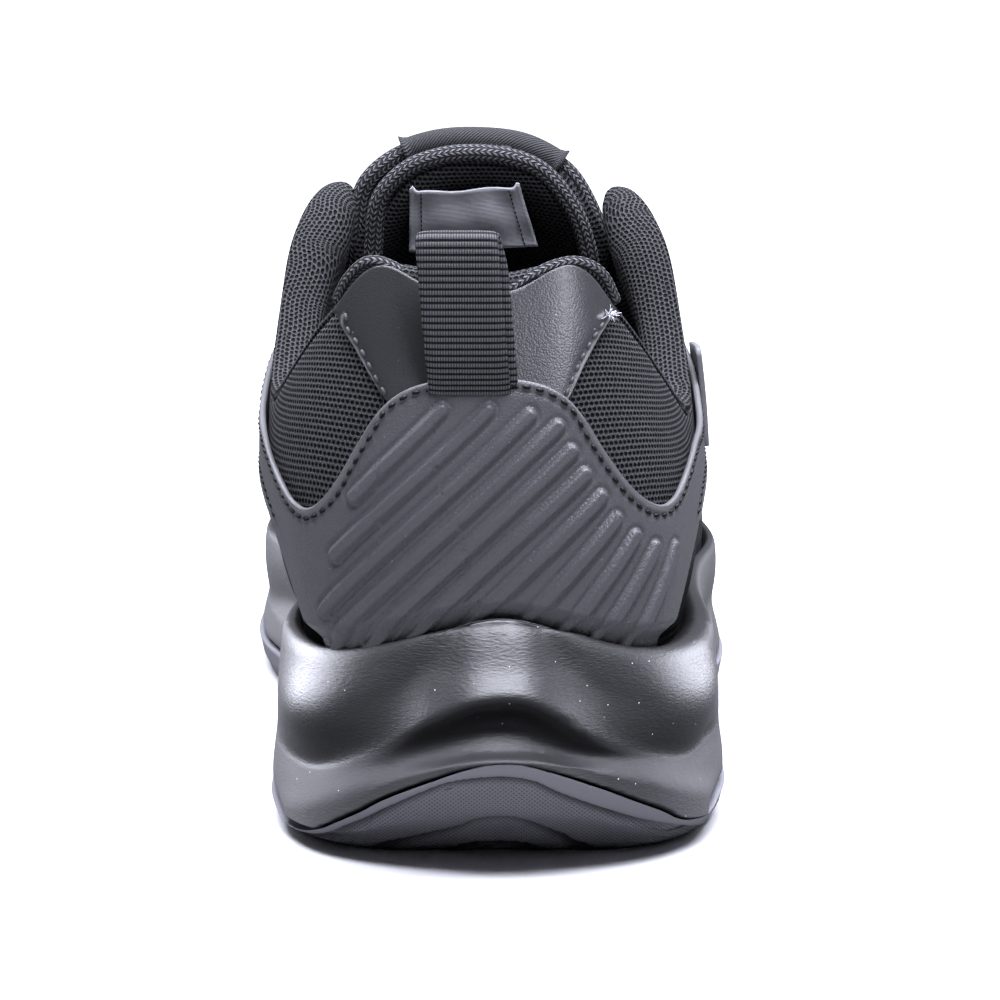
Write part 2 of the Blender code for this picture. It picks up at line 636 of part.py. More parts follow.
def overlay(name, skin, ws, low, high, steps, thick, lift=GAP):
    """A panel laid on the upper between two edges given as places on its ribs."""
    shares = np.linspace(0, 1, steps + 1)
    sections = []
    for w, start, end in zip(ws, low, high):
        v = start + (end - start) * shares
        places = np.full(len(v), w)
        under = off_upper(places, v, np.full(len(v), lift))
        over = off_upper(places, v, np.full(len(v), lift + thick))
        sections.append(np.concatenate([under, over[::-1]]))
    return loft(name, skin, sections)


def heel_counter():
    front = np.linspace(COUNTER_TURN + 0.1, COUNTER_FRONT, 9)
    ws = np.concatenate([-front[::-1], np.linspace(-COUNTER_TURN, COUNTER_TURN, 29), front])
    low = v_at_height(ws, np.maximum(around(COUNTER, "lat_low", "med_low")(ws), LIP(ws) + COUNTER_ABOVE_LIP))
    high = v_at_height(ws, around(COUNTER, "lat_high", "med_high")(ws))
    return overlay("heel_counter", "grain", ws, low, high, 4, OVERLAY)


def heel_tab():
    side = np.linspace(0.4, TAB_FRONT, 6)
    ws = np.concatenate([-side[::-1], np.linspace(-0.3, 0.3, 7), side])
    low = v_at_height(ws, around(TAB_LOW, "lat_low", "med_low")(ws))
    return overlay("heel_tab", "grain", ws, low, np.full(len(ws), PANEL_TOP), 3, OVERLAY)


def toe_cap():
    ws = np.linspace(TOE_FRONT, ROUND - TOE_FRONT, 19)
    low = v_at_height(ws, LIP(ws) + TOE_ABOVE_LIP)
    high = v_at_height(ws, around(TOE_EDGE, "lat_high", "med_high")(ws))
    return overlay("toe_cap", "grain", ws, low, high, 3, OVERLAY)


def eyestay(name, turn):
    at = np.append(STATIONS[(STATIONS > STAY_BACK) & (STATIONS < EYELET_AT[-1])], STAY_FRONT)
    ws = turn(at)
    low = v_below_edge(ws, np.interp(at, (STAY_BACK, 4.0, STAY_FRONT), (23.0, 20.0, 18.0)))
    return overlay(name, "grain", ws, low, np.full(len(ws), PANEL_TOP), 4, OVERLAY, STAY_LIFT)


def side_tag():
    ws = np.linspace(*TAG_AT, 4)
    low = v_at_height(ws, TAG_LOW)
    high = v_at_height(ws, TAG_HIGH)
    return overlay("side_tag", "tag", ws, low, high, 3, TAG_THICK, OVERLAY + 2 * GAP)


def collar_lining():
    """Padded roll inside the collar and over its edge."""
    front = np.append(STATIONS[STATIONS < COLLAR_FRONT], COLLAR_FRONT)
    depths, swell = np.array(LINING_SWELL).T
    sections = []
    for w in np.concatenate([-front[:0:-1], front]):
        at = station(w)
        pad = np.interp(at, *np.transpose(LINING_PAD))
        gap = np.interp(at, *np.transpose(LINING_CLEAR))
        way = upper_normal(w, 1.0)
        edge = upper_point(w, 1.0)
        rise = edge - upper_point(w, 0.95)
        rise /= np.linalg.norm(rise)
        top = gap + COLLAR_ROLL - LINING_GAP
        profile = [(-0.2, gap), (0.0, gap + 0.9), (-1.2, top), (-3.6, top + 0.2), (-WALL - gap - pad, gap)]
        section = [edge + way * out + rise * up for out, up in profile]
        places = np.full(len(depths), w)
        v = v_below_edge(places, depths)
        section += list(off_upper(places, v, -(WALL + gap + pad * swell)))
        section += list(off_upper(places, v, 0 * depths - WALL - gap)[::-1])
        section.append(edge - way * (WALL + gap) + rise * gap)
        # Turned by one place, so that the end faces bend round the wall's rim and don't cross it
        sections.append(np.roll(section, -1, axis=0))
    return loft("collar_lining", "knit", sections)


def ridge_frame(at, reach):
    """Points and normals across the ridge at one station, `reach` being how far along the rib each side of it."""
    steps = np.linspace(0, 1, 121)
    points = []
    ways = []
    for away in reach:
        w = at if away >= 0 else ROUND - at
        row = ridge_rib(np.full(121, w), steps)
        lengths = np.linalg.norm(np.diff(row, axis=0), axis=-1)
        left = np.concatenate([np.cumsum(lengths[::-1])[::-1], [0.0]])
        q = np.interp(-abs(away), -left, steps)
        q_side = np.clip(q, 0.02, 0.98)
        here = np.array([w, w + 0.03, w - 0.03, w, w])
        there = np.array([q, q_side, q_side, q_side + 0.02, q_side - 0.02])
        spot, ahead, behind, higher, lower = ridge_rib(here, there)
        way = np.cross(ahead - behind, higher - lower)
        points.append(spot)
        ways.append(way / np.linalg.norm(way))
    points = np.array(points)
    ways = np.array(ways)
    middle = np.abs(np.asarray(reach)) < 1
    ways[middle] = ways[middle] * (0, 1, 1)
    return points, ways / np.linalg.norm(ways, axis=-1, keepdims=True)


def arch_row(row, shares):
    """Points along a half ellipse that hangs from its crown."""
    turns = np.linspace(0, 0.5 * np.pi, 91)
    side = np.stack([row.half * np.sin(turns), 0 * turns, row.fall * (np.cos(turns) - 1)], -1)
    run = np.concatenate([[0.0], np.cumsum(np.linalg.norm(np.diff(side, axis=0), axis=-1))])
    away = np.abs(shares) * row.length
    x = np.interp(away, run, side[:, 0]) * np.sign(shares)
    z = np.interp(away, run, side[:, 2])
    return np.stack([row.x + x, row.y + 0 * x, row.crown + z], -1)


def tongue_faces():
    """Outer and inner face of the tongue, a row for each section from its top edge to under the vamp."""
    shares = np.linspace(-1, 1, TONGUE_COLUMNS)
    outer = [arch_row(row, shares) for row in ARCHES]
    for row in TONGUE:
        points, ways = ridge_frame(row.at, shares * row.length)
        outer.append(points - ways * (WALL + TONGUE_UNDER))
    outer = np.array(outer)
    ways = np.cross(np.gradient(outer, axis=0), np.gradient(outer, axis=1))
    ways /= np.linalg.norm(ways, axis=-1, keepdims=True)
    ways *= np.sign(ways[len(ARCHES), TONGUE_COLUMNS // 2, 2])
    thick = np.array([row.thick for row in ARCHES + TONGUE])
    edge = 1 - 0.45 * np.abs(shares) ** 3
    return outer, outer - ways * (thick[:, None] * edge)[..., None]


def tongue():
    outer, inner = tongue_faces()
    return loft("tongue", "knit", [np.concatenate([one, other[::-1]]) for one, other in zip(outer, inner)])


def column_at(face, c):
    """A column of the tongue's face, also between two of its own."""
    i = int(c)
    return face[:, i] * (1 - c + i) + face[:, i + 1] * (c - i)


def tongue_tab():
    """Strip folded over the tongue's top edge."""
    outer, inner = tongue_faces()
    middle = (TONGUE_COLUMNS - 1) / 2
    sections = []
    for c in middle + np.array([-TONGUE_TAB_HALF, -2, -1, 0, 1, 2, TONGUE_TAB_HALF]):
        front, back = [column_at(face, c) for face in (outer, inner)]
        top = (front[0] + back[0]) / 2
        up = top - (front[1] + back[1]) / 2
        up /= np.linalg.norm(up)
        across = front[0] - back[0]
        thick = np.linalg.norm(across)
        across /= thick
        half = thick / 2 + TONGUE_TAB_GAP
        flared = half + TONGUE_TAB_FLARE
        low = -TONGUE_TAB_DOWN
        high = 0.5 + TONGUE_TAB_THICK
        corner = half + 0.6 * TONGUE_TAB_THICK
        inside = [(flared, low), (half, 0.5), (-half, 0.5), (-flared, low)]
        far = flared + TONGUE_TAB_THICK
        outside = [(-far, low), (-corner, high), (corner, high), (far, low)]
        sections.append(np.array([top + across * a + up * b for a, b in inside + outside]))
    bm = bmesh.new()
    rows = stack_rings(bm, sections)
    for row in (rows[0], rows[-1]):
        for i in range(3):
            bm.faces.new((row[i], row[i + 1], row[6 - i], row[7 - i]))
    return finish(bm, "tongue_tab", "webbing")


def tongue_label():
    """Bare woven label on the tongue's inner face."""
    outer, inner = tongue_faces()
    sections = []
    middle = (TONGUE_COLUMNS - 1) / 2
    for c in middle + np.linspace(*LABEL_COLUMNS, 7):
        rows = [column_at(face, c) for face in (outer, inner)]
        under = []
        over = []
        for r in np.linspace(*LABEL_ROWS, 4):
            k = int(r)
            front, back = [row[k] * (1 - r + k) + row[k + 1] * (r - k) for row in rows]
            way = (back - front) / np.linalg.norm(back - front)
            under.append(back + way * (GAP + LABEL_LIFT))
            over.append(back + way * (GAP + LABEL_LIFT + LABEL_THICK))
        sections.append(np.array(under + over[::-1]))
    return loft("tongue_label", "label", sections)


def pull_loop():
    """Folded webbing that stands on the counter's top edge."""
    foot = off_upper(0.0, v_at_height([0.0], [95.0])[0], GAP + OVERLAY)
    points = np.array(LOOP_INNER + LOOP_FOLD + LOOP_OUTER)
    points[:, 0] += foot[1] - 0.5
    way = np.gradient(points, axis=0)
    way /= np.linalg.norm(way, axis=1, keepdims=True)
    side = np.stack([-way[:, 1], way[:, 0]], 1) * LOOP_THICK / 2
    sections = []
    for share in np.linspace(-0.5, 0.5, 4):
        section = []
        for spot, push in list(zip(points, side)) + list(zip(points[::-1], -side[::-1])):
            y, z = spot + push
            section.append((LOOP_X + LOOP_LEAN * (z - LOOP_FOOT) + share * LOOP_WIDTH, y, z))
        sections.append(np.array(section))
    return loft("pull_loop", "webbing", sections)


def eyelets():
    """Plain rings on the eyestays."""
    rings = []
    for side, turn in (("lateral", lambda at: at), ("medial", lambda at: ROUND - at)):
        for number, at in enumerate(EYELET_AT, 1):
            w = np.array([turn(at)])
            v = v_below_edge(w, np.array([EYELET_DOWN]))
            centre = off_upper(w, v, np.array([STAY_LIFT + OVERLAY + GAP]))[0]
            way = upper_normal(w, v)[0]
            ahead = np.cross(way, UP)
            ahead /= np.linalg.norm(ahead)
            over = np.cross(way, ahead)
            bm = bmesh.new()
            turns = np.linspace(0, 2 * np.pi, 9)[:-1]
            spokes = np.outer(np.cos(turns), ahead) + np.outer(np.sin(turns), over)
            rise = way * EYELET_RISE
            stand = way * EYELET_STAND
            loops = [
                centre + spokes * EYELET_RADIUS + stand,
                centre + spokes * (EYELET_RADIUS - EYELET_BEVEL) + rise + stand,
                centre + spokes * EYELET_BORE + rise + way * EYELET_DIP,
                centre + spokes * EYELET_BORE + stand,
            ]
            rows = stack_rings(bm, loops)
            skin_rings(bm, rows[-1], rows[0])
            rings.append(finish(bm, f"eyelet_{side}_{number}", "eyelet"))
    return rings


def lace_strap(name, start, end, over):
    """A flat lace from the outer eyelet at station `start` to the inner one at `end`, over the ridge."""
    shares = np.linspace(-1, 1, 7)
    points = []
    ways = []
    for share in shares:
        at = start + (end - start) * (share + 1) / 2
        reach = -share * (float(THROAT_GAP(at)) + EYELET_DOWN)
        lift = LACE_LIFT + over + LACE_BOW * abs(share) ** 1.5
        spot, way = ridge_frame(at, [reach])
        points.append(spot[0] + way[0] * lift)
        ways.append(way[0])
    points = np.array(points)
    ways = np.array(ways)
    run = np.gradient(points, axis=0)
    side = np.cross(ways, run)
    side *= LACE_WIDTH / 2 / np.linalg.norm(side, axis=1, keepdims=True)
    up = ways * LACE_THICK / 2
    sections = np.stack([points - side - up, points + side - up, points + side + up, points - side + up], 1)
    return loft(name, "webbing", sections)


def lace():
    """All crossings, joined into one solid."""
    pairs = [pair for one, two in zip(EYELET_AT, EYELET_AT[1:]) for pair in ((one, two), (two, one))]
    straps = [lace_strap(f"strap_{number}", *pair, LACE_OVER * (number % 2)) for number, pair in enumerate(pairs)]
    straps.append(lace_strap("strap_low", EYELET_AT[-1], EYELET_AT[-1], LACE_OVER / 2))
    whole = straps[0]
    whole.name = "lace"
    bpy.context.view_layer.objects.active = whole
    for strap in straps[1:]:
        join = whole.modifiers.new("join", "BOOLEAN")
        join.operation = "UNION"
        join.solver = "EXACT"
        join.object = strap
        bpy.ops.object.modifier_apply(modifier=join.name)
        bpy.data.objects.remove(strap)
    return whole


def build():
    for old in list(bpy.data.objects):
        bpy.data.objects.remove(old)
    solids = [outsole(), midsole(), insole(), upper()]
    solids += [collar_lining(), heel_counter(), heel_tab(), toe_cap()]
    solids += [eyestay("eyestay_lateral", lambda at: at), eyestay("eyestay_medial", lambda at: ROUND - at)]
    solids += [side_tag(), tongue(), tongue_tab(), tongue_label(), pull_loop(), lace()] + eyelets()
    corners = np.array([vertex.co for solid in solids for vertex in solid.data.vertices])
    middle = (corners.min(axis=0) + corners.max(axis=0)) / 2
    shoe = bpy.data.objects.new("shoe", None)
    bpy.context.scene.collection.objects.link(shoe)
    shoe.location = (-middle[0], -middle[1], 0)
    for solid in solids:
        solid.parent = shoe


build()
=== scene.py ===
"""The look of a low-cut trainer, right shoe: skins, seams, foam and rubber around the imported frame."""

import json
import math
from collections import namedtuple

import bmesh
import bpy
import numpy as np
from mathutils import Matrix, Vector
from mathutils.bvhtree import BVHTree
from mathutils.kdtree import KDTree

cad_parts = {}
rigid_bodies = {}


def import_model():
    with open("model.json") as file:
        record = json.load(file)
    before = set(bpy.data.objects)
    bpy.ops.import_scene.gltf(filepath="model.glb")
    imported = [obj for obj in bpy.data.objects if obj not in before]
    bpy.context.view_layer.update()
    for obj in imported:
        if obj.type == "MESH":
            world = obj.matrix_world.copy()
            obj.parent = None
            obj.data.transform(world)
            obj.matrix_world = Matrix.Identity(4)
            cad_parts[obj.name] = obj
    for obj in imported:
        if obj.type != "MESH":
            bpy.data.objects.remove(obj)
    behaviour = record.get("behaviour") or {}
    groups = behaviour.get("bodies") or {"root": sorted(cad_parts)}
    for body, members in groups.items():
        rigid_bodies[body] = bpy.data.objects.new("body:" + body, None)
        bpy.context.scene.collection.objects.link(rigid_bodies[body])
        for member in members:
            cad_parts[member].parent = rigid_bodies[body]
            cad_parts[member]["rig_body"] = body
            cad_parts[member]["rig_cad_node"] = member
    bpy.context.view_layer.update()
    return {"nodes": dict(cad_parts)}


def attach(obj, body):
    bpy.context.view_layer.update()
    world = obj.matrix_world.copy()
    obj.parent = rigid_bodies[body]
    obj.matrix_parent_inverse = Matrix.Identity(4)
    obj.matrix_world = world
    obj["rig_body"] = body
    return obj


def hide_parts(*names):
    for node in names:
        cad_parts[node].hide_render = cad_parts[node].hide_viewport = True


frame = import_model()
NODES = frame["nodes"]
BODY = "root"

# Shoe sizes are in millimetres, and meshes in metres
MM = 0.001

# Where the photograph was taken from: metres, degrees, and a lens for a 36 mm wide sensor
EYE = (0.0029, -0.8511, 0.185)
PITCH = 9.17
LENS = 137.9
COOL_LIGHT = (0.93, 0.95, 1.08)
FLOOR_SIZE = 30.0
FLOOR_AHEAD = 10.0

# The side of the shoe laid flat: round the heel about this axis, then straight along each side
HEEL_AXIS = -105.0
HEEL_RADIUS = 45.0
WIDEST = 50.0

# Raised bars of the heel counter, on the side laid flat: way round and height of both ends
Bar = namedtuple("Bar", "top_u top_z foot_u foot_z")
BARS = [
    Bar(-8.7, 87.9, -26.4, 71.1),
    Bar(0.9, 87.9, -31.3, 59.5),
    Bar(9.3, 86.9, -35.4, 48.2),
    Bar(14.9, 84.8, -36.5, 40.5),
    Bar(17.5, 80.1, -28.0, 40.4),
    Bar(20.1, 75.7, -19.4, 41.3),
    Bar(23.4, 71.3, -7.5, 42.7),
    Bar(26.7, 66.9, 4.0, 42.2),
    Bar(31.2, 63.2, 14.5, 41.7),
    Bar(36.5, 60.5, 22.5, 40.4),
    Bar(43.2, 59.6, 30.5, 38.7),
]
BAR_HALF = 1.6
BAR_SIDE = 0.8
BAR_RISE = 0.9
BAR_GROOVE = 0.25
BAR_FINE = 0.4
COUNTER_FINE = 1.1
COUNTER_DOWN = 5.0

# Seams: distance of a thread row from a cut edge, and the thread's sizes
SEAM_IN = 1.8
STITCH_PITCH = 2.6
STITCH_LONG = 1.6
STITCH_THICK = 0.85
STITCH_LIFT = 0.12

# Lines on the back of the sole, on the side laid flat: way round and height
FOLD_LINE = [
    (-75, 16), (-58, 15.6), (-48, 15.8), (-39, 17.2), (-30, 19.6), (-21, 23.2), (-12.6, 29), (-8.4, 31.2),
    (-2, 33.8), (5, 34.6), (10.8, 33.2), (20, 27.3), (26.4, 23.6), (36, 20.6), (46, 18.3), (54, 17.9),
    (62, 19.0), (75, 19.5),
]
RUBBER_LINES = [
    [(-70, 2), (-43, 4.2), (-29, 9.8), (-21, 14), (-12.3, 17.6), (-3.2, 20.6), (4.2, 21.5), (10.2, 20.6),
     (17.4, 18.4), (24.8, 15.5), (35.7, 10.7), (45.8, 6.4), (70, 4)],
    [(-70, 1), (-42, 3), (-29, 7.4), (-20.8, 11.3), (-12.3, 15.2), (-6.9, 17.2), (1.9, 18.2), (9.2, 17.5),
     (16.1, 14.4), (26.7, 10.3), (37.3, 6.7), (55, 2.4), (70, 1)],
    [(-70, -6), (-32, 1.1), (-8.8, 6.2), (-2.4, 8.5), (3.6, 9.3), (9.5, 8.4), (20.5, 4.4), (29.8, 1.3),
     (70, -6)],
    [(-70, -9), (-15.3, 0.4), (2.7, 2.5), (20, 0.6), (70, -9)],
]

# Way round the heel where a form has run out, and where it is there in full
SOLE_REACH = (75, 60)
JOINT_REACH = (70, 54)
BAND_REACH = (68, 52)
STEP_SHADOW_REACH = (46, 26)
LIP_REACH = (64, 44)
TUCK_REACH = (75, 55)

# Rubber: steps between its bands, a painted shadow at the foot and a painted highlight on the rim of each
# step, and the diamond pattern
BAND_STEP = 1.6
BAND_EDGE = 0.25
STEP_SHADOW_IN = (-0.15, 0.2)
STEP_SHADOW_OUT = (2.4, 0.5)
STEP_HIGHLIGHT_ABOVE = 0.4
STEP_HIGHLIGHT_HALF = 0.35
DIAMOND = (0.5, 0.42)

# Foam of the heel: a ridge on the fold, the arch under it, a lobe over a crease at each corner, and the lip
RIDGE_AT = 4.0
RIDGE_HALF = 25.0
RIDGE_OUT = 6.2
RIDGE_ABOVE = 10.0
RIDGE_BELOW = 3.2
ARCH_AT = 4.5
ARCH_HALF = 14.0
ARCH_UNDER = 7.0
ARCH_DEEP = 1.2
CORNERS_AT = (-44, 51)
CORNER_HALF = 17.0
CREASE_HALF = 2.2
CREASE_DEEP = 1.3
LOBE_ABOVE = 11.0
LOBE_HALF = 7.0
LOBE_OUT = 2.4
NECK_AT = 43.0
NECK_HALF = 3.0
NECK_DEEP = 0.6
BITE_AT = 43.6
BITE_HALF = 0.7
BITE_DEEP = 0.4
LIP_CENTRE = 4.2
LIP_CENTRE_HALF = 24.0
LIP_CORNER = 0.6
LIP_HIGH = 49.0
LIP_LOW = 41.5

# How deep the upper and the counter go in behind the lip, and from how far above it
UPPER_TUCK = (3.2, 6.0)
COUNTER_TUCK = (2.8, 3.2)

# Collar lining: how far its roll is plumped, all along and at the two front peaks
ROLL_PLUMP = 0.7
PEAK_PLUMP = 1.8
PEAK_AT = -64.0
PEAK_HALF = 13.0

# Rolled rims of the tongue's top, as points from the outer side down over the crown to the inner side
OUTER_ROLL = [
    (25.6, -46.5, 98), (25.0, -47.5, 104), (23.6, -48.5, 111.7), (21.2, -49.2, 118), (17.8, -49.8, 123.8),
    (13.5, -50.0, 127.4), (7, -50.2, 130.4), (-1, -50.4, 131.4), (-9.5, -50.2, 131.0), (-17.5, -50.0, 128.6),
    (-23, -49.8, 124.8), (-25.9, -49.2, 120.2), (-26.8, -48.5, 113), (-27.3, -47.5, 106), (-27.8, -46.5, 99),
]
INNER_ROLL = [
    (22.6, -50.0, 98), (22.0, -51.5, 105.5), (18.8, -53.2, 116.2), (12.5, -54.2, 124.8),
    (5.8, -54.8, 128.2), (-2.1, -55.0, 129.3), (-9.6, -54.8, 128.6), (-16.8, -54.2, 125.6),
    (-22.2, -53.2, 119.2), (-23.6, -51.5, 108.5), (-24.2, -50.0, 99),
]
OUTER_ROLL_RADIUS = 2.2
INNER_ROLL_RADIUS = 2.0
TAPE_ENDS = (15.8, -17.2)
TAPE_THICK = 0.7
TAPE_LIFT = 0.25
TAPE_FLARE = 0.9

# Pull loop from the side: the outer layer up from the counter's edge, over the fold, the inner layer down
LOOP_PATH = [
    (-144.6, 91.0), (-146.4, 94.0), (-148.4, 98.5), (-149.7, 104), (-150.3, 110), (-150.4, 116),
    (-150.0, 119.6), (-149.0, 120.9), (-147.9, 120.3), (-147.2, 117), (-146.9, 111), (-146.5, 104),
    (-145.6, 98), (-144.8, 94), (-144.0, 91.0),
]
LOOP_WIDE = 15.2
LOOP_LEAN = (-2.7, -5.2)
LOOP_SLIP = 1.5
LOOP_THICK = 1.0
LOOP_RIB = 1.25
LOOP_RIB_RISE = 0.3

# Knit roll over the heel tab's top edge, from the inner side to the outer
TAB_ROLL = [
    (-27.8, -127.5, 106.5), (-25.8, -130.3, 110.6), (-23.0, -132.8, 113.7), (-20.5, -134.3, 114.5),
    (-17.5, -135.6, 113.7), (-13.5, -137.0, 111.8), (-5, -138.6, 109.7), (4.2, -138.6, 109.7),
    (8.5, -137.6, 111.8), (12.7, -136.2, 113.7), (16.6, -134.6, 114.4), (19.8, -133.0, 113.5),
    (22.4, -131.0, 111.2), (24.6, -128.6, 106.5),
]
TAB_ROLL_RADIUS = 1.35

# Heel tab: middle, rise of its two peaks, and how far its low corners go down; then its frayed corner
TAB_AT = -2.0
TAB_FINE = 0.7
TAB_PEAKS_AT = (-26, 22)
TAB_PEAK_HALF = 11.0
TAB_PEAK_RISE = 2.2
TAB_CORNER_DOWN = 4.0
TAB_SEAM_IN = 1.1
FRAY_SPOT = (23.4, -136.2, 104.9)
FRAY_WAY = (0.5, -0.7, 0.2)
FRAY_THREADS = 40
FRAY_LONG = 2.0
FRAY_RADIUS = 0.07

# Laces
EYELETS = 6
LACE_WIDE = 6.6
LACE_NARROW = 3.0
LACE_THICK = 1.3
LACE_GATHER = 0.8
LACE_END = 2.4
LACE_OUT = 1.5
LACE_BEND = 2.2
LACE_SINK = 0.7
LACE_CROSS = 0.9

# Corners of the tongue's label, as it faces the heel: top inner, top outer, bottom outer, bottom inner
LABEL_CORNERS = [(-15.8, -56.0, 121.2), (6.9, -56.0, 122.4), (10.9, -49.5, 109.5), (-16.2, -49.5, 108.3)]
LABEL_HEM = 2.4
LABEL_COLUMNS = 40
LABEL_ROWS = 20
LABEL_THICK = 0.4
LABEL_EAR = 1.4


# Working on meshes

def take_none():
    bpy.ops.object.select_all(action="DESELECT")


def take(*pieces):
    """Selects only these pieces, and makes the last one active."""
    take_none()
    for piece in pieces:
        piece.select_set(True)
    bpy.context.view_layer.objects.active = pieces[-1]


def copy_of(node, name):
    """A copy of a solid of the frame with its triangles merged back into four-sided faces."""
    take(NODES[node])
    bpy.ops.object.duplicate()
    piece = bpy.context.object
    piece.name = name
    piece.parent = None
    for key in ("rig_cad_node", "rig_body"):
        del piece[key]
    bpy.ops.object.mode_set(mode="EDIT")
    bpy.ops.mesh.select_all(action="SELECT")
    bpy.ops.mesh.remove_doubles(threshold=0.002 * MM)
    bpy.ops.mesh.customdata_custom_splitnormals_clear()
    bpy.ops.mesh.tris_convert_to_quads(face_threshold=math.radians(50), shape_threshold=math.radians(60))
    bpy.ops.object.mode_set(mode="OBJECT")
    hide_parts(node)
    return piece


def hold_edges(piece, sharper, firmness):
    """Creases the edges that turn by more than an angle, so that refining keeps them crisp."""
    take(piece)
    bpy.ops.object.mode_set(mode="EDIT")
    bpy.ops.mesh.select_mode(type="EDGE")
    bpy.ops.mesh.select_all(action="DESELECT")
    bpy.ops.mesh.edges_select_sharp(sharpness=math.radians(sharper))
    bpy.ops.transform.edge_crease(value=firmness)
    bpy.ops.object.mode_set(mode="OBJECT")


def refine(piece, levels):
    take(piece)
    bpy.ops.object.modifier_add(type="SUBSURF")
    smoother = piece.modifiers[-1]
    smoother.levels = levels
    smoother.render_levels = levels
    bpy.ops.object.modifier_apply(modifier=smoother.name)
    bpy.ops.object.shade_smooth()


def choose(piece, kind, chosen):
    """Opens a piece for editing with only the chosen edges or points selected."""
    take(piece)
    bpy.ops.object.mode_set(mode="EDIT")
    bpy.ops.mesh.select_mode(type=kind)
    bpy.ops.mesh.select_all(action="DESELECT")
    bpy.ops.object.mode_set(mode="OBJECT")
    elements = piece.data.edges if kind == "EDGE" else piece.data.vertices
    elements.foreach_set("select", chosen)
    bpy.ops.object.mode_set(mode="EDIT")


def cut_finer(piece, longest, here, facing_out=False):
    """Halves the edges longer than a size where `here` holds, until none is left."""
    for _ in range(4):
        ends = np.empty(2 * len(piece.data.edges), np.int32)
        piece.data.edges.foreach_get("vertices", ends)
        one, two = points_of(piece)[ends.reshape(-1, 2)].transpose(1, 0, 2)
        long = (np.linalg.norm(one - two, axis=1) > longest) & here((one + two) / 2)
        if facing_out:
            long &= outwardness(piece)[ends.reshape(-1, 2)].min(axis=1) > 0.3
        if not long.any():
            break
        choose(piece, "EDGE", long)
        bpy.ops.mesh.subdivide(number_cuts=1)
        bpy.ops.object.mode_set(mode="OBJECT")


def outwardness(piece):
    """How squarely each point of a piece faces away from the heel's axis, or from the middle plane."""
    x, y, _ = points_of(piece).T
    away = np.stack([x, np.minimum(y - HEEL_AXIS, 0)], 1)
    away /= np.maximum(np.linalg.norm(away, axis=1, keepdims=True), 1.0)
    return (normals_of(piece)[:, :2] * away).sum(axis=1)


def relax(piece, here, times):
    """Smooths the points where `here` holds, to take out facets."""
    choose(piece, "VERT", here)
    bpy.ops.mesh.vertices_smooth(factor=0.5, repeat=times)
    bpy.ops.object.mode_set(mode="OBJECT")


def points_of(piece):
    flat = np.empty(3 * len(piece.data.vertices), np.float32)
    piece.data.vertices.foreach_get("co", flat)
    return flat.reshape(-1, 3).astype(float) / MM


def normals_of(piece):
    flat = np.empty(3 * len(piece.data.vertices), np.float32)
    piece.data.vertex_normals.foreach_get("vector", flat)
    return flat.reshape(-1, 3).astype(float)


def set_points(piece, points):
    piece.data.vertices.foreach_set("co", (points * MM).astype(np.float32).ravel())
    piece.data.update()


def press(piece, height):
    """Moves each point of a piece along its normal, as a sculptor's brush would."""
    set_points(piece, points_of(piece) + normals_of(piece) * height[:, None])


def unroll(points):
    """Way round from the middle of the heel, and height, as if the shoe's side were laid flat."""
    x, y, z = points.T
    back = np.minimum(y - HEEL_AXIS, 0)
    return HEEL_RADIUS * np.arctan2(x, -back) + np.sign(x) * np.maximum(y - HEEL_AXIS, 0), z


def inset(points):
    """How far inside the shoe's widest outline each point lies."""
    x, y, _ = points.T
    return WIDEST - np.hypot(x, np.minimum(y - HEEL_AXIS, 0))


def fade(value, start, end):
    """0 before start, 1 after end, smooth between them."""
    t = np.clip((value - start) / (end - start), 0, 1)
    return t * t * (3 - 2 * t)


def bump(value, middle, width):
    return np.exp(-(((value - middle) / width) ** 2))


def lay_cloth(piece, u, v):
    """Gives a piece its cloth coordinates, in millimetres along and across the cloth."""
    corners = np.empty(len(piece.data.loops), np.int32)
    piece.data.loops.foreach_get("vertex_index", corners)
    layer = piece.data.uv_layers.get("cloth") or piece.data.uv_layers.new(name="cloth")
    layer.data.foreach_set("uv", np.stack([u[corners], v[corners]], 1).astype(np.float32).ravel())
    layer.active = True
    layer.active_render = True


def tree_of(points):
    """A search tree for the nearest of some points."""
    tree = KDTree(len(points))
    for index, point in enumerate(points):
        tree.insert(point, index)
    tree.balance()
    return tree


def unit(rows):
    return rows / np.linalg.norm(rows, axis=-1, keepdims=True)


def ways_of(path):
    """Direction of a path at each of its points."""
    return unit(np.gradient(path, axis=0))


def lay_along(piece, spine):
    """Cloth coordinates along a curve and away from it, for a pad that is swept along that curve."""
    path = even_path(spine, 0.5)
    run = run_of(path)
    tree = tree_of(path)
    points = points_of(piece)
    near = np.array([tree.find(point)[1] for point in points])
    away = points - path[near]
    inward = -np.sign(points[:, 0]) * away[:, 0] + 0.2 * away[:, 1]
    lay_cloth(piece, run[near], np.linalg.norm(away, axis=1) * np.where(inward > 0, 1, -1))


def mark(piece, name, values):
    """Keeps a value for each point, which a material can read."""
    attribute = piece.data.attributes.get(name) or piece.data.attributes.new(name, "FLOAT", "POINT")
    attribute.data.foreach_set("value", np.asarray(values, np.float32))


def surface_of(piece):
    faces = [face.vertices[:] for face in piece.data.polygons]
    return BVHTree.FromPolygons(points_of(piece).tolist(), faces)


def onto(tree, points):
    """Nearest places on a surface, with the surface's normals there."""
    found = [tree.find_nearest(Vector(point)) for point in points]
    return np.array([hit[0] for hit in found]), np.array([hit[1] for hit in found])


def run_of(points):
    return np.concatenate([[0.0], np.cumsum(np.linalg.norm(np.diff(points, axis=0), axis=1))])


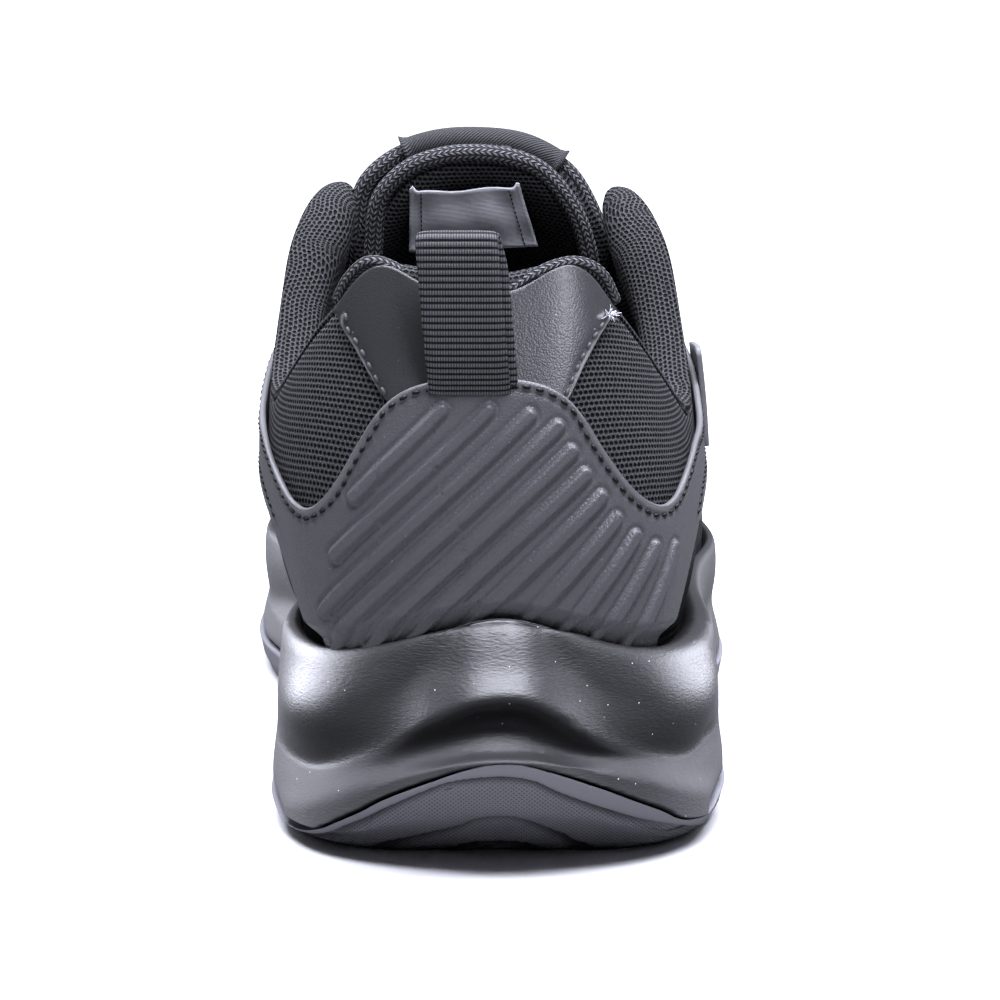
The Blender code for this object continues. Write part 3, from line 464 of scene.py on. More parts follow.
def even_path(points, step):
    """Evenly spaced points on a smooth curve through the given ones."""
    points = np.asarray(points, float)
    padded = np.vstack([2 * points[0] - points[1], points, 2 * points[-1] - points[-2]])
    t = np.linspace(0, 1, 12, endpoint=False)[:, None]
    fine = [
        b + 0.5 * ((c - a) * t + (2 * a - 5 * b + 4 * c - d) * t**2 + (3 * b - a - 3 * c + d) * t**3)
        for a, b, c, d in zip(padded, padded[1:], padded[2:], padded[3:])
    ]
    fine = np.vstack(fine + [points[-1:]])
    run = run_of(fine)
    at = np.linspace(0, run[-1], max(2, int(round(run[-1] / step)) + 1))
    return np.stack([np.interp(at, run, fine[:, i]) for i in range(fine.shape[1])], 1)


def line_height(table):
    """Height of a line drawn on the side laid flat, as a function of the way round."""
    fine = even_path(table, 0.5)
    return lambda u: np.interp(u, fine[:, 0], fine[:, 1])


def outline(piece, thin=1.7):
    """Edge of a panel's outer face as a closed row of points, read before the panel is refined."""
    bm = bmesh.new()
    bm.from_mesh(piece.data)

    def faces_out(face):
        centre = face.calc_center_median() / MM
        core = Vector((0.0, min(max(centre.y, HEEL_AXIS), 90.0), 55.0))
        narrow = min(edge.calc_length() for edge in face.edges) < thin * MM
        return not narrow and face.normal.dot(centre - core) > 0

    out = {face: faces_out(face) for face in bm.faces}
    links = {}
    for edge in bm.edges:
        if sum(out[face] for face in edge.link_faces) == 1:
            one, two = edge.verts
            links.setdefault(one, []).append(two)
            links.setdefault(two, []).append(one)
    loop = [next(iter(links))]
    before = None
    while True:
        ahead = [vert for vert in links[loop[-1]] if vert is not before]
        before = loop[-1]
        if not ahead or ahead[0] is loop[0]:
            break
        loop.append(ahead[0])
    points = np.array([vert.co for vert in loop]) / MM
    bm.free()
    return even_path(np.vstack([points, points[:1]]), 0.4)


def edge_distance(piece, rim):
    tree = tree_of(rim)
    return np.array([tree.find(point)[2] for point in points_of(piece)])


def inward_row(piece, rim, distance, keep):
    """A path on a panel's face at a distance inside its edge, in the stretches where `keep` holds."""
    tree = surface_of(piece)
    core = np.stack([0 * rim[:, 0], np.clip(rim[:, 1], HEEL_AXIS, 90), 0 * rim[:, 0] + 55], 1)
    side = unit(np.cross(rim - core, ways_of(rim)))
    tries = []
    for sign in (1, -1):
        spots, _ = onto(tree, rim + side * sign * distance)
        miss = np.linalg.norm(spots - rim - side * sign * distance, axis=1).mean()
        tries.append((miss, spots))
    spots = min(tries, key=lambda item: item[0])[1]
    kept = keep(rim)
    if kept.all():
        return [spots]
    first = int(np.argmin(kept))
    order = np.roll(np.arange(len(rim)), -first)
    rows = []
    row = []
    for index in order:
        if kept[index]:
            row.append(spots[index])
        elif row:
            rows.append(np.array(row))
            row = []
    if row:
        rows.append(np.array(row))
    return [item for item in rows if len(item) > 8]


def evened(row, window=9):
    """The same path with its small wiggles averaged away."""
    pad = window // 2
    padded = np.vstack([np.repeat(row[:1], pad, 0), row, np.repeat(row[-1:], pad, 0)])
    kernel = np.ones(window) / window
    return np.stack([np.convolve(padded[:, i], kernel, "valid") for i in range(3)], 1)


def sew(name, rows, tree, material, slot, pitch=STITCH_PITCH, length=STITCH_LONG, thick=STITCH_THICK):
    """A joined row of thread stitches along paths on a surface."""
    take_none()
    bpy.ops.mesh.primitive_uv_sphere_add(segments=6, ring_count=4, radius=0.5)
    bead = bpy.context.object
    shape = np.array([vert.co for vert in bead.data.vertices])
    shape = np.stack([shape[:, 2], shape[:, 0], shape[:, 1]], 1)
    shape[:, 0] = np.sign(shape[:, 0]) * np.sqrt(np.abs(2 * shape[:, 0])) / 2
    faces = [face.vertices[:] for face in bead.data.polygons]
    bpy.data.objects.remove(bead)
    verts = []
    polygons = []
    rng = np.random.default_rng(7)
    for row in rows:
        path = even_path(row, pitch)
        spots, normals = onto(tree, path)
        ways = np.gradient(spots, axis=0)
        for spot, way, normal in zip(spots, ways, normals):
            way = way - normal * way.dot(normal)
            way /= np.linalg.norm(way)
            side = np.cross(normal, way)
            stretch = length * rng.uniform(0.93, 1.05)
            tilt = rng.normal(0, 0.06)
            along = way + side * tilt
            round_it = shape[:, 1:2] * side * thick + shape[:, 2:] * normal * thick
            start = len(verts)
            verts.extend((spot + normal * STITCH_LIFT + (shape[:, :1] * along * stretch + round_it)) * MM)
            polygons.extend([tuple(start + index for index in face) for face in faces])
    mesh = bpy.data.meshes.new(name)
    mesh.from_pydata([tuple(vert) for vert in verts], [], polygons)
    piece = bpy.data.objects.new(name, mesh)
    bpy.context.scene.collection.objects.link(piece)
    take(piece)
    bpy.ops.object.shade_smooth()
    bpy.ops.object.mode_set(mode="EDIT")
    bpy.ops.mesh.select_all(action="SELECT")
    bpy.ops.mesh.normals_make_consistent(inside=False)
    bpy.ops.object.mode_set(mode="OBJECT")
    return dress(piece, material)


def skin(name, sections, tube=True):
    """A piece drawn through rows of points: a grid is added, and each of its points is put in its place."""
    sections = np.asarray(sections, float)
    if tube:
        sections = np.concatenate([sections, sections[:, :1]], axis=1)
    rows, columns = sections.shape[:2]
    take_none()
    bpy.ops.mesh.primitive_grid_add(x_subdivisions=columns - 1, y_subdivisions=rows - 1, size=1)
    piece = bpy.context.object
    piece.name = name
    set_points(piece, sections.reshape(-1, 3))
    across = np.array([run_of(row) for row in sections])
    along = np.array([run_of(row) for row in sections.transpose(1, 0, 2)]).T
    across -= across.mean(axis=1, keepdims=True)
    lay_cloth(piece, across.ravel(), np.repeat(along.mean(axis=1), columns))
    bpy.ops.object.mode_set(mode="EDIT")
    bpy.ops.mesh.select_all(action="SELECT")
    if tube:
        bpy.ops.mesh.remove_doubles(threshold=0.0005 * MM)
        bpy.ops.mesh.fill_holes(sides=0)
    bpy.ops.mesh.normals_make_consistent(inside=False)
    bpy.ops.object.mode_set(mode="OBJECT")
    bpy.ops.object.shade_smooth()
    return piece


def dress(piece, material):
    """Gives a piece its material, and lets it ride on the shoe."""
    piece.data.materials.clear()
    piece.data.materials.append(material)
    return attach(piece, BODY)


# Shader nodes

class Board:
    """Lays out the nodes of one material or group."""

    def __init__(self, tree):
        self.tree = tree

    def feed(self, socket, value):
        if isinstance(value, bpy.types.NodeSocket):
            self.tree.links.new(value, socket)
        else:
            socket.default_value = value

    def put(self, kind, settings=None, **sockets):
        node = self.tree.nodes.new("ShaderNode" + kind)
        for name, value in (settings or {}).items():
            setattr(node, name, value)
        for name, value in sockets.items():
            self.feed(node.inputs[name], value)
        return node

    def work(self, operation, *values):
        node = self.tree.nodes.new("ShaderNodeMath")
        node.operation = operation
        for socket, value in zip(node.inputs, values):
            self.feed(socket, value)
        return node.outputs[0]

    def times(self, one, two):
        return self.work("MULTIPLY", one, two)

    def plus(self, one, two):
        return self.work("ADD", one, two)

    def less(self, one, two):
        return self.work("SUBTRACT", one, two)

    def share(self, one, two):
        return self.work("DIVIDE", one, two)

    def ramp(self, value, low, high, to_low=0.0, to_high=1.0):
        node = self.put("MapRange", {"interpolation_type": "SMOOTHSTEP"})
        for socket, item in zip(node.inputs, (value, low, high, to_low, to_high)):
            self.feed(socket, item)
        return node.outputs[0]

    def mix(self, share, one, two):
        node = self.put("Mix", {"data_type": "RGBA"})
        for index, item in ((0, share), (6, one), (7, two)):
            self.feed(node.inputs[index], item)
        return node.outputs[2]

    def noise(self, vector, scale, detail=3.0, rough=0.55):
        node = self.put("TexNoise", Vector=vector, Scale=scale, Detail=detail, Roughness=rough)
        return node.outputs[0]

    def cells(self, vector, scale, feature="F1"):
        return self.put("TexVoronoi", {"feature": feature}, Vector=vector, Scale=scale)

    def place(self, kind):
        return self.put("TexCoord").outputs[kind]

    def turned(self, vector, turn=(0, 0, 0), scale=(1, 1, 1), shift=(0, 0, 0)):
        node = self.put("Mapping", Vector=vector)
        node.inputs["Location"].default_value = shift
        node.inputs["Rotation"].default_value = turn
        node.inputs["Scale"].default_value = scale
        return node.outputs[0]

    def parts(self, vector):
        return self.put("SeparateXYZ", Vector=vector).outputs

    def own(self, name):
        return self.put("Attribute", {"attribute_name": name}).outputs["Fac"]

    def use(self, tree, **sockets):
        node = self.tree.nodes.new("ShaderNodeGroup")
        node.node_tree = tree
        for name, value in sockets.items():
            self.feed(node.inputs[name.replace("_", " ")], value)
        return node.outputs

    def bump(self, height, depth, strength=1.0, under=None):
        node = self.put("Bump", Height=height, Strength=strength, Distance=depth * MM)
        if under is not None:
            self.feed(node.inputs["Normal"], under)
        return node.outputs[0]


def group(name, inputs, outputs):
    """A new shader node group: its tree, board, input sockets and output sockets."""
    tree = bpy.data.node_groups.new(name, "ShaderNodeTree")
    for label, value in inputs.items():
        kind = "NodeSocketVector" if value is None else "NodeSocketFloat"
        socket = tree.interface.new_socket(label, in_out="INPUT", socket_type=kind)
        if value is not None:
            socket.default_value = value
    for label in outputs:
        tree.interface.new_socket(label, in_out="OUTPUT", socket_type="NodeSocketFloat")
    inside = tree.nodes.new("NodeGroupInput").outputs
    outside = tree.nodes.new("NodeGroupOutput").inputs
    return tree, Board(tree), inside, outside


def grain_group():
    """Fine pebbled leather grain, sized by its pebbles in millimetres."""
    tree, b, given, out = group("leather grain", {"Place": None, "Pebble": 0.6}, ["Height", "Tone"])
    scale = b.share(1000.0, given["Pebble"])
    pebbles = b.cells(given["Place"], scale).outputs["Distance"]
    broad = b.noise(given["Place"], b.times(scale, 0.22), 3.0)
    fine = b.noise(given["Place"], b.times(scale, 2.2), 2.0)
    height = b.plus(b.times(pebbles, -1.1), b.times(broad, 0.06))
    b.feed(out["Height"], b.plus(height, b.times(fine, 0.2)))
    b.feed(out["Tone"], b.ramp(b.noise(given["Place"], 45.0, 4.0, 0.6), 0.3, 0.7))
    return tree


def knit_group():
    """Knitted loops in columns of chevrons, on cloth coordinates in millimetres."""
    tree, b, given, out = group(
        "knit loops", {"Cloth": None, "Wale": 1.0, "Course": 0.9, "Slant": 0.9}, ["Height", "Gap", "Tone"]
    )
    x, y, _ = b.parts(given["Cloth"])
    column = b.share(x, given["Wale"])
    aside = b.work("ABSOLUTE", b.less(b.work("FRACT", column), 0.5))
    row = b.plus(b.share(y, given["Course"]), b.times(aside, given["Slant"]))
    loop = b.work("SINE", b.times(row, 2 * math.pi))
    middle = b.ramp(aside, 0.5, 0.28)
    seam = b.ramp(aside, 0.0, 0.12)
    round_loop = b.ramp(loop, -0.75, 0.8)
    high = b.times(round_loop, b.times(middle, b.plus(0.45, b.times(seam, 0.55))))
    b.feed(out["Height"], high)
    b.feed(out["Gap"], b.ramp(high, 0.42, 0.05))
    b.feed(out["Tone"], b.noise(given["Cloth"], 1.7, 2.0))
    return tree


def holes_group():
    """Open mesh: rows of oval holes, every second row moved by half a hole, in millimetres."""
    tree, b, given, out = group(
        "open mesh", {"Cloth": None, "Across": 1.2, "Up": 1.25}, ["Height", "Hole"]
    )
    x, y, _ = b.parts(given["Cloth"])
    row = b.share(y, given["Up"])
    odd = b.times(b.work("MODULO", b.work("FLOOR", row), 2.0), 0.5)
    column = b.plus(b.share(x, given["Across"]), odd)
    aside = b.less(b.work("FRACT", column), 0.5)
    above = b.less(b.work("FRACT", row), 0.5)
    across = b.work("POWER", aside, 2.0)
    away = b.work("SQRT", b.plus(across, b.work("POWER", b.times(above, 1.1), 2.0)))
    b.feed(out["Height"], b.ramp(away, 0.18, 0.5))
    b.feed(out["Hole"], b.ramp(away, 0.48, 0.3))
    return tree


def twill_group():
    """Fine slanted ribs of a woven tape, in millimetres."""
    tree, b, given, out = group("twill", {"Cloth": None, "Rib": 0.7, "Lean": 1.0}, ["Height", "Tone"])
    x, y, _ = b.parts(given["Cloth"])
    phase = b.share(b.plus(y, b.times(x, given["Lean"])), given["Rib"])
    rib = b.work("SINE", b.times(phase, 2 * math.pi))
    thread = b.work("SINE", b.times(b.share(x, given["Rib"]), 4 * math.pi))
    b.feed(out["Height"], b.plus(b.ramp(rib, -0.9, 0.9), b.times(thread, 0.1)))
    b.feed(out["Tone"], b.noise(given["Cloth"], 0.9, 2.0))
    return tree


def dust_group():
    """Pale specks and a faint mottle that handling leaves."""
    tree, b, given, out = group(
        "dust", {"Place": None, "Amount": 0.03, "Grain": 1500.0}, ["Speck", "Mottle"]
    )
    cell = b.cells(given["Place"], given["Grain"])
    draw = b.parts(cell.outputs["Color"])[0]
    chosen = b.work("GREATER_THAN", draw, b.less(1.0, given["Amount"]))
    small = b.ramp(cell.outputs["Distance"], 0.24, 0.1)
    b.feed(out["Speck"], b.times(chosen, small))
    b.feed(out["Mottle"], b.noise(given["Place"], 28.0, 4.0, 0.6))
    return tree


GRAIN = grain_group()
KNIT = knit_group()
HOLES = holes_group()
TWILL = twill_group()
DUST = dust_group()


def material(name, roughness=0.6, specular=0.5, **plain):
    """A new material: its board and its shader node."""
    made = bpy.data.materials.new(name)
    made.use_nodes = True
    shader = made.node_tree.nodes["Principled BSDF"]
    shader.inputs["Roughness"].default_value = roughness
    shader.inputs["Specular IOR Level"].default_value = specular
    for label, value in plain.items():
        shader.inputs[label.replace("_", " ")].default_value = value
    return made, Board(made.node_tree), shader.inputs


def grey(value, blue=1.06):
    return (value, value * 0.995, value * blue, 1.0)


def even(value):
    return (value, value, value, 1.0)


def leather(name, dark, light, pebble, depth, roughness, edge):
    """Coated synthetic leather: grain, paler cut edges where the piece marks them, and a little dust."""
    made, b, shader = material(name, roughness, 0.5)
    place = b.place("Object")
    height, tone = b.use(GRAIN, Place=place, Pebble=pebble)
    speck, mottle = b.use(DUST, Place=place, Amount=0.012)
    body = b.mix(b.times(tone, b.ramp(height, -0.3, 0.6)), grey(dark), grey(light))
    cut = b.own("cut_edge")
    edged = b.mix(cut, body, grey(edge, 1.03))
    dusted = b.mix(b.times(speck, 0.6), edged, grey(0.5))
    b.feed(shader["Base Color"], dusted)
    worn = b.plus(mottle, b.times(height, 0.3))
    b.feed(shader["Roughness"], b.ramp(worn, 0.1, 0.9, roughness - 0.07, roughness + 0.1))
    b.feed(shader["Normal"], b.bump(height, depth))
    return made


def open_mesh(name, dark, light, across, up):
    """Spacer mesh: dark holes between pale threads, and painted shade where the piece marks a shaded place.
    """
    made, b, shader = material(name, 0.8, 0.15)
    cloth = b.place("UV")
    height, hole = b.use(HOLES, Cloth=cloth, Across=across, Up=up)
    fuzz = b.noise(cloth, 3.2, 3.0, 0.7)
    thread = b.mix(b.ramp(fuzz, 0.3, 0.7), grey(dark), grey(light))
    open_tone = b.mix(hole, thread, grey(0.002))
    # Painted shade where the piece marks it
    b.feed(shader["Base Color"], b.mix(b.own("shade"), open_tone, grey(0.004)))
    b.feed(shader["Normal"], b.bump(b.plus(height, b.times(fuzz, 0.2)), 0.6))
    return made


def knit(name, light, wale, course, slant, depth):
    made, b, shader = material(name, 0.85, 0.12)
    cloth = b.place("UV")
    height, gap, tone = b.use(KNIT, Cloth=cloth, Wale=wale, Course=course, Slant=slant)
    yarn = b.mix(tone, grey(light * 0.7), grey(light))
    b.feed(shader["Base Color"], b.mix(gap, yarn, grey(light * 0.12)))
    b.feed(shader["Normal"], b.bump(height, depth))
    return made


def webbing(name, light, rib, lean, depth):
    made, b, shader = material(name, 0.75, 0.2)
    cloth = b.place("UV")
    height, tone = b.use(TWILL, Cloth=cloth, Rib=rib, Lean=lean)
    yarn = b.mix(tone, grey(light * 0.75), grey(light))
    woven = b.mix(b.ramp(height, 0.5, 0.0), yarn, grey(light * 0.3))
    # Painted shade in the valleys between ribs, where a piece marks them
    b.feed(shader["Base Color"], b.mix(b.ramp(b.own("shaded_valley"), 0.12, 0.5), woven, grey(light * 0.06)))
    b.feed(shader["Normal"], b.bump(height, depth))
    return made


def foam():
    """Moulded foam with a satin skin: soft wrinkles, fine slanted lines, pale dust, and a paler, rougher
    band below the fold where painted light stands in for light bounced up from the floor.
    """
    made, b, shader = material("midsole foam", 0.36, 0.42)
    place = b.place("Object")
    slant = b.turned(place, (0.0, 0.6, 0.3), (1.0, 1.0, 3.2))
    wrinkles = b.noise(slant, 800.0, 3.0, 0.6)
    broad = b.noise(place, 120.0, 3.0, 0.5)
    speck, mottle = b.use(DUST, Place=place, Amount=0.012)
    # Painted light: the band below the fold is paler, as if lit from the floor; it is also rougher
    low = b.own("floor_lit_band")
    body = b.mix(low, grey(0.0035), grey(0.006, 1.1))
    shade = b.mix(b.times(mottle, 0.15), body, grey(0.025))
    b.feed(shader["Base Color"], b.mix(b.times(speck, 0.7), shade, grey(0.55)))
    gloss = b.ramp(mottle, 0.2, 0.8, 0.39, 0.46)
    b.feed(shader["Roughness"], b.plus(gloss, b.times(low, 0.3)))
    height = b.plus(wrinkles, b.times(broad, 0.6))
    b.feed(shader["Normal"], b.bump(height, 0.09))
    return made


def rubber():
    """Grey rubber with a fine diamond texture on its bands, a painted shadow under each step and a painted
    highlight on each step's lip.
    """
    made, b, shader = material("outsole rubber", 0.62, 0.45)
    place = b.place("Object")
    x, _, z = b.parts(place)
    tall = b.times(z, math.pi / (DIAMOND[1] * MM))
    wide = b.times(x, math.pi / (DIAMOND[0] * MM))
    diamonds = [b.work("SINE", b.work(lean, tall, wide)) for lean in ("ADD", "SUBTRACT")]
    pattern = b.times(b.plus(*diamonds), 0.5)
    speck, mottle = b.use(DUST, Place=place, Amount=0.03)
    body = b.mix(mottle, grey(0.24, 1.1), grey(0.29, 1.1))
    fine = b.noise(place, 900.0, 2.0)
    textured = b.times(b.own("diamond"), pattern)
    pitted = b.mix(b.ramp(textured, 0.1, -0.9, 0.0, 0.6), body, grey(0.03))
    # Painted shadow under each step
    step_shadowed = b.mix(b.times(b.own("groove"), 0.85), pitted, grey(0.01))
    # Painted highlight on each step's lip
    step_highlighted = b.mix(b.times(b.own("rim"), 0.5), step_shadowed, grey(0.2))
    b.feed(shader["Base Color"], b.mix(b.times(speck, 0.6), step_highlighted, grey(0.5)))
    b.feed(shader["Normal"], b.bump(b.plus(textured, fine), 0.08))
    return made


def plain_grain(name, light, scale, depth, roughness):
    """A plain moulded or woven surface with a little grain, for small trim."""
    made, b, shader = material(name, roughness, 0.5)
    place = b.place("Object")
    grain = b.noise(place, scale, 3.0)
    b.feed(shader["Base Color"], b.mix(grain, grey(light * 0.75), grey(light * 1.2)))
    b.feed(shader["Normal"], b.bump(grain, depth))
    return made


COUNTER_LEATHER = leather(
    "counter leather", dark=0.1, light=0.155, pebble=0.42, depth=0.07, roughness=0.45, edge=0.14
)
TAB_LEATHER = leather(
    "tab leather", dark=0.03, light=0.055, pebble=0.4, depth=0.04, roughness=0.42, edge=0.2
)
SIDE_MESH = open_mesh("side mesh", dark=0.012, light=0.14, across=1.2, up=1.25)
LINING_KNIT = open_mesh("lining mesh", dark=0.018, light=0.1, across=1.1, up=0.95)
TONGUE_KNIT = open_mesh("tongue mesh", dark=0.012, light=0.07, across=1.1, up=0.95)
PIPING_KNIT = knit("piping knit", light=0.22, wale=1.7, course=1.25, slant=1.5, depth=0.8)
LOOP_WEBBING = webbing("loop webbing", light=0.16, rib=0.5, lean=0.0, depth=0.12)
TAB_TWILL = webbing("tab twill", light=0.07, rib=0.75, lean=1.0, depth=0.25)
LACE_WEAVE = webbing("lace weave", light=0.05, rib=0.8, lean=0.7, depth=0.3)
LABEL_WEAVE = webbing("label weave", light=0.75, rib=0.3, lean=0.0, depth=0.04)
FOAM = foam()
RUBBER = rubber()
THREAD = plain_grain("black thread", light=0.006, scale=3000.0, depth=0.05, roughness=0.55)
PALE_THREAD = plain_grain("grey thread", light=0.08, scale=3000.0, depth=0.05, roughness=0.6)
FRAY_THREAD = plain_grain("frayed thread", light=0.75, scale=3000.0, depth=0.02, roughness=0.7)
TAG_RUBBER = plain_grain("tag rubber", light=0.2, scale=1500.0, depth=0.06, roughness=0.55)
EYELET_PLASTIC = plain_grain("eyelet plastic", light=0.03, scale=1200.0, depth=0.03, roughness=0.35)
INSOLE_CLOTH = plain_grain("insole cloth", light=0.03, scale=1400.0, depth=0.15, roughness=0.85)


# Sole

def rubber_wall(piece):
    """Top and reach of the rubber's wall round the heel, as functions of the way round."""
    points = points_of(piece)
    u, z = unroll(points)
    reach = WIDEST - inset(points)
    steps = np.arange(-72.0, 73.0, 3.0)
    outer = [(np.abs(u - step) < 3) & (reach > reach[np.abs(u - step) < 3].max() - 6) for step in steps]
    tops = np.array([z[near].max() for near in outer])
    rims = np.array([reach[near & (z > top - 3)].max() for near, top in zip(outer, tops)])
    return lambda at: np.interp(at, steps, tops), lambda at: np.interp(at, steps, rims)


def spread(points, reach):
    """The points moved straight out from the heel's axis, or from the middle plane, to a new reach."""
    x, y, z = points.T
    back = np.minimum(y - HEEL_AXIS, 0)
    grow = reach / np.maximum(np.hypot(x, back), 1.0)
    return np.stack([x * grow, y - back + back * grow, z], 1)


def outsole():
    piece = copy_of("outsole", "outsole_skin")
    hold_edges(piece, 45, 0.8)
    refine(piece, 2)
    cut_finer(piece, 0.7, lambda p: (p[:, 1] < -105) & (inset(p) < 22))
    wall_top, wall_rim = rubber_wall(piece)
    cut_finer(piece, 0.36, lambda p: (np.abs(unroll(p)[0]) < 62) & (inset(p) < 16) & (p[:, 2] < 23))
    points = points_of(piece)
    u, _ = unroll(points)
    near_heel = fade(np.abs(u), *JOINT_REACH)
    joint = line_height(RUBBER_LINES[0])(u)
    lower = np.minimum(joint / wall_top(u), 1.0)
    points[:, 2] *= 1 - near_heel * (1 - lower) * fade(inset(points), 16, 8)
    set_points(piece, points)
    u, z = unroll(points)
    lines = [line_height(line)(u) for line in RUBBER_LINES]
    reach = fade(np.abs(u), *BAND_REACH) * fade(inset(points), 34, 28)
    relief = np.zeros(len(points))
    groove = np.zeros(len(points))
    rim = np.zeros(len(points))
    for upper_line, lower_line in zip(lines[1:], lines[2:] + [lines[-1] - 6]):
        share = np.clip((upper_line - z) / np.maximum(upper_line - lower_line, 0.5), 0, 1)
        under_top = fade(z, upper_line + BAND_EDGE, upper_line - BAND_EDGE)
        over_foot = fade(z, lower_line - BAND_EDGE, lower_line + BAND_EDGE)
        relief -= BAND_STEP * (under_top * over_foot) * (1 - share) ** 1.5
        below = upper_line - z
        # Painted shadow: dark just below each step's line, where the step above overhangs
        groove = np.maximum(groove, fade(below, *STEP_SHADOW_IN) * fade(below, *STEP_SHADOW_OUT))
        # Painted highlight just above each step's line, on its lip
        rim = np.maximum(rim, bump(below, -STEP_HIGHLIGHT_ABOVE, STEP_HIGHLIGHT_HALF))
    press(piece, relief * reach * fade(z, 0.8, 2.5))
    shaped = points_of(piece)
    shaped[:, 2] = np.maximum(shaped[:, 2], 0.0)
    set_points(piece, shaped)
    # Painted shadow under the steps, weaker towards the ends of the heel
    mark(piece, "groove", groove * reach * (0.35 + 0.65 * fade(np.abs(u), *STEP_SHADOW_REACH)))
    # Painted highlight on the lip of each step
    mark(piece, "rim", rim * reach)
    mark(piece, "diamond", fade(z, lines[1] - 0.3, lines[1] - 1.2) * reach)
    dress(piece, RUBBER)
    return wall_top, wall_rim


def midsole(wall_top, wall_rim):
    piece = copy_of("midsole", "midsole_skin")
    refine(piece, 2)
    cut_finer(piece, 0.9, lambda p: (p[:, 1] < -85) & (p[:, 2] > 2) & (inset(p) < 22))
    points = points_of(piece)
    u, z = unroll(points)
    side = (inset(points) < 20) & (np.abs(u) < SOLE_REACH[0])
    joint = line_height(RUBBER_LINES[0])(u)
    now = WIDEST - inset(points)
    flush = np.maximum(now, wall_rim(u) + 0.1)
    cover = 2.0 + 3.0 * fade(np.abs(u - ARCH_AT), 12, 35)
    near_joint = fade(z, wall_top(u) + cover, wall_top(u) + 0.3) * fade(z, joint - 1.2, joint - 0.2)
    near_joint *= fade(np.abs(u), *JOINT_REACH)
    points = np.where(side[:, None], spread(points, now + (flush - now) * near_joint), points)
    lip = fade(z, 38, 43) * fade(np.abs(u), *LIP_REACH) * fade(inset(points), 14, 9)
    points[:, 2] += lip * (LIP_CENTRE * bump(u, 0, LIP_CENTRE_HALF) + LIP_CORNER)
    set_points(piece, points)
    fold = line_height(FOLD_LINE)(u)
    arch = bump(u, ARCH_AT, ARCH_HALF)
    broad = bump(u, RIDGE_AT, RIDGE_HALF)
    share = np.clip((z - fold) / RIDGE_ABOVE, 0, 1)
    ridge = RIDGE_OUT * np.where(z > fold, broad * (1 - share) ** 1.2, broad * bump(z, fold, RIDGE_BELOW))
    neck = -NECK_DEEP * broad * bump(z, NECK_AT, NECK_HALF)
    hollow = neck - ARCH_DEEP * arch * bump(z, fold - ARCH_UNDER, RIDGE_BELOW)
    corners = sum(bump(u, at, CORNER_HALF) for at in CORNERS_AT)
    crease = -CREASE_DEEP * corners * bump(z, fold, CREASE_HALF) - BITE_DEEP * bump(z, BITE_AT, BITE_HALF)
    lobes = LOBE_OUT * corners * bump(z, fold + LOBE_ABOVE, LOBE_HALF)
    relief = (ridge + hollow + crease + lobes) * fade(np.abs(u), *SOLE_REACH)
    press(piece, np.where(side, relief, 0.0))
    relax(piece, side & (z > joint + 2.5) & (z < NECK_AT - 0.5) & (inset(points) < 14), 8)
    # Painted light on the band below the fold, as if bounced up from the floor, held back under the arch as
    # painted shade
    paler = fade(z, fold + 0.3, fold - 1.2)
    mark(piece, "floor_lit_band", paler * (1 - 0.85 * arch * fade(z, fold - 16, fold - 8)))
    return dress(piece, FOAM)


# Upper

def tucked(points, depth, start):
    """The points moved inward where they come near the foam's lip, so that they go down behind it."""
    u, z = unroll(points)
    lip = LIP_LOW + (LIP_HIGH - LIP_LOW) * bump(u, 2, 26)
    tuck = fade(z, lip + start, lip - 1.0) * fade(np.abs(u), *TUCK_REACH)
    return spread(points, WIDEST - inset(points) - depth * tuck)


def upper():
    piece = copy_of("upper", "upper_skin")
    hold_edges(piece, 60, 0.5)
    refine(piece, 2)
    points = points_of(piece)
    u, z = unroll(points)
    set_points(piece, tucked(points, *UPPER_TUCK))
    lay_cloth(piece, np.abs(u), z + inset(points))
    # Painted shade low on the back of the upper, where it goes down behind the counter and the foam's lip
    mark(piece, "shade", fade(z, 58, 46) * fade(points[:, 1], -60, -90))
    return dress(piece, SIDE_MESH)


def collar_lining():
    piece = copy_of("collar_lining", "collar_lining_pad")
    refine(piece, 3)
    points = points_of(piece)
    normals = normals_of(piece)
    inward = -normals[:, 0] * np.sign(points[:, 0]) + 1.2 * normals[:, 2] - 0.6 * normals[:, 1]
    peak = bump(points[:, 1], PEAK_AT, PEAK_HALF) * fade(points[:, 2], 92, 112)
    press(piece, fade(inward, -0.3, 0.5) * (PEAK_PLUMP * peak + ROLL_PLUMP))
    points = points_of(piece)
    u, z = unroll(points)
    steps = np.arange(u.min() + 1.5, u.max() - 1.5, 4.0)
    bands = [np.abs(u - step) < 2.5 for step in steps]
    lay_along(piece, [points[band][np.argmax(z[band])] for band in bands if band.any()])
    return dress(piece, LINING_KNIT)


def bar_relief(u, z):
    """Height of the counter's raised bars."""
    relief = np.zeros(len(u))
    groove = np.zeros(len(u))
    for bar in BARS:
        run_u = bar.foot_u - bar.top_u
        run_z = bar.foot_z - bar.top_z
        along = ((u - bar.top_u) * run_u + (z - bar.top_z) * run_z) / (run_u**2 + run_z**2)
        along = np.clip(along, 0, 1)
        away = np.hypot(u - bar.top_u - along * run_u, z - bar.top_z - along * run_z)
        relief = np.maximum(relief, BAR_RISE * fade(away, BAR_HALF, BAR_HALF - BAR_SIDE))
        groove = np.maximum(groove, bump(away, BAR_HALF + 0.3, 0.4))
    return relief - BAR_GROOVE * groove * (relief < 0.1)


